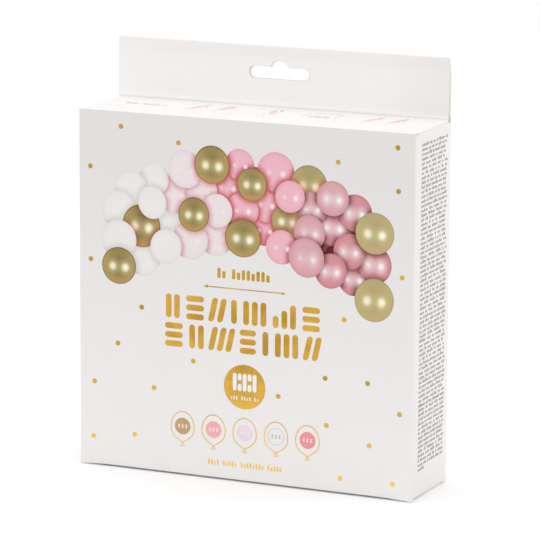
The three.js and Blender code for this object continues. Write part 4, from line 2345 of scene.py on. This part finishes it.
@dataclass
class Viewpoint:
    """The camera, a long lens a little above the carton and to its right."""

    azimuth: float = math.radians(23.98)
    elevation: float = math.radians(11.56)
    roll: float = math.radians(0.34)
    distance: float = 1707.0
    target: Triple = (3.9, 0.0, 100.5)
    lens: float = 237.2
    sensor: float = 36.0
    nearest: float = 0.01
    farthest: float = 50.0

    def build(self) -> None:
        """Place the camera and make it the scene's."""
        cosine = math.cos(self.elevation)
        forward = Vector(
            (-math.sin(self.azimuth) * cosine, math.cos(self.azimuth) * cosine, -math.sin(self.elevation))
        )
        data = bpy.data.cameras.new("studio_camera")
        data.lens = self.lens
        data.sensor_width = self.sensor
        data.clip_start = self.nearest
        data.clip_end = self.farthest
        camera = add_object("studio_camera", data)
        camera.location = (Vector(self.target) - forward * self.distance) * MM
        turn = forward.to_track_quat("-Z", "Y") @ Quaternion((0, 0, 1), self.roll)
        camera.rotation_mode = "QUATERNION"
        camera.rotation_quaternion = turn
        bpy.context.scene.camera = camera


@dataclass(frozen=True)
class SoftLight:
    """A square soft light that faces the carton. Lengths are in metres, the power in watts."""

    name: str
    place: Triple
    size: float
    power: float
    aim: Triple = (0.0, 0.0, 0.1)

    def hang(self) -> None:
        """Hang the light and turn it to the carton."""
        data = bpy.data.lights.new(self.name, "AREA")
        data.shape = "SQUARE"
        data.size = self.size
        data.energy = self.power
        light = add_object(self.name, data)
        light.location = self.place
        aim = Vector(self.aim) - Vector(self.place)
        light.rotation_mode = "QUATERNION"
        light.rotation_quaternion = aim.to_track_quat("-Z", "Y")


@dataclass
class Studio:
    """A plain pale floor and soft light."""

    floor_size: float = 9.0
    sky: float = 0.87
    lights: tuple[SoftLight, ...] = (
        SoftLight("overhead_light", (0.0, -0.5, 3.0), 4.0, 42.0),
        SoftLight("right_light", (1.6, 0.3, 0.7), 1.2, 1.3),
    )

    def build(self) -> None:
        """Lay the floor, light the sky and hang the lights."""
        clear_selection()
        bpy.ops.mesh.primitive_plane_add(size=self.floor_size)
        floor = bpy.context.object
        floor.name = "studio_floor"
        floor.data.materials.append(StudioFloor().material())
        world = bpy.data.worlds.new("studio_sky")
        world.use_nodes = True
        sky = world.node_tree.nodes["Background"]
        sky.inputs["Color"].default_value = (1.0, 1.0, 1.0, 1.0)
        sky.inputs["Strength"].default_value = self.sky
        bpy.context.scene.world = world
        for light in self.lights:
            light.hang()
        bpy.context.scene.view_settings.view_transform = "Standard"


def wall_panels(sizes: CartonSizes) -> dict[str, Panel]:
    """Describe the walls that carry print.

    Args:
        sizes: the carton's sizes.

    Returns:
        The panels by name.
    """
    x, y, z = Vector((1, 0, 0)), Vector((0, 1, 0)), Vector((0, 0, 1))
    return {
        "front": Panel(-y * sizes.back, x, z, "carton", sizes.sag),
        "right": Panel(x * sizes.side, y, z, "carton", sizes.side_sag),
        "back": Panel(y * sizes.back, -x, z, "carton", sizes.sag),
        "left": Panel(-x * sizes.side, -y, z, "carton", sizes.side_sag),
        "lid": Panel(z * sizes.height, x, y, "lid", Lid(sizes, []).sag_at),
    }


def main() -> None:
    """Build the carton, its print and the studio, in order."""
    logging.basicConfig(level=logging.INFO, format="%(name)s: %(message)s")
    sizes = CartonSizes.from_frame()
    board = [CoatedBoard().material(), CutEdge().material(), PlainBoard().material()]
    CartonShell(sizes, board).build()
    SeamFlap(sizes, board).build()
    lid = Lid(sizes, board)
    lid.panel()
    lid.crease()
    for side in Side:
        flap = DustFlap(sizes, board, side)
        flap.panel()
        flap.crease()
    panels = wall_panels(sizes)
    foil, ink = GoldFoil().material(), PrintedInk().material()
    FrontPrint(sizes, panels["front"], foil, ink).build()
    SmallPrint(panels["right"], ink).build("side_small_print")
    LidPrint(panels["lid"], ink).build()
    PlainScatter(FoilDots(panels["back"], foil), half_width=sizes.side - 6).build("back_foil_dots")
    PlainScatter(FoilDots(panels["left"], foil), half_width=sizes.back - 4).build("left_foil_dots")
    Viewpoint().build()
    Studio().build()


if __name__ == "__main__":
    main()
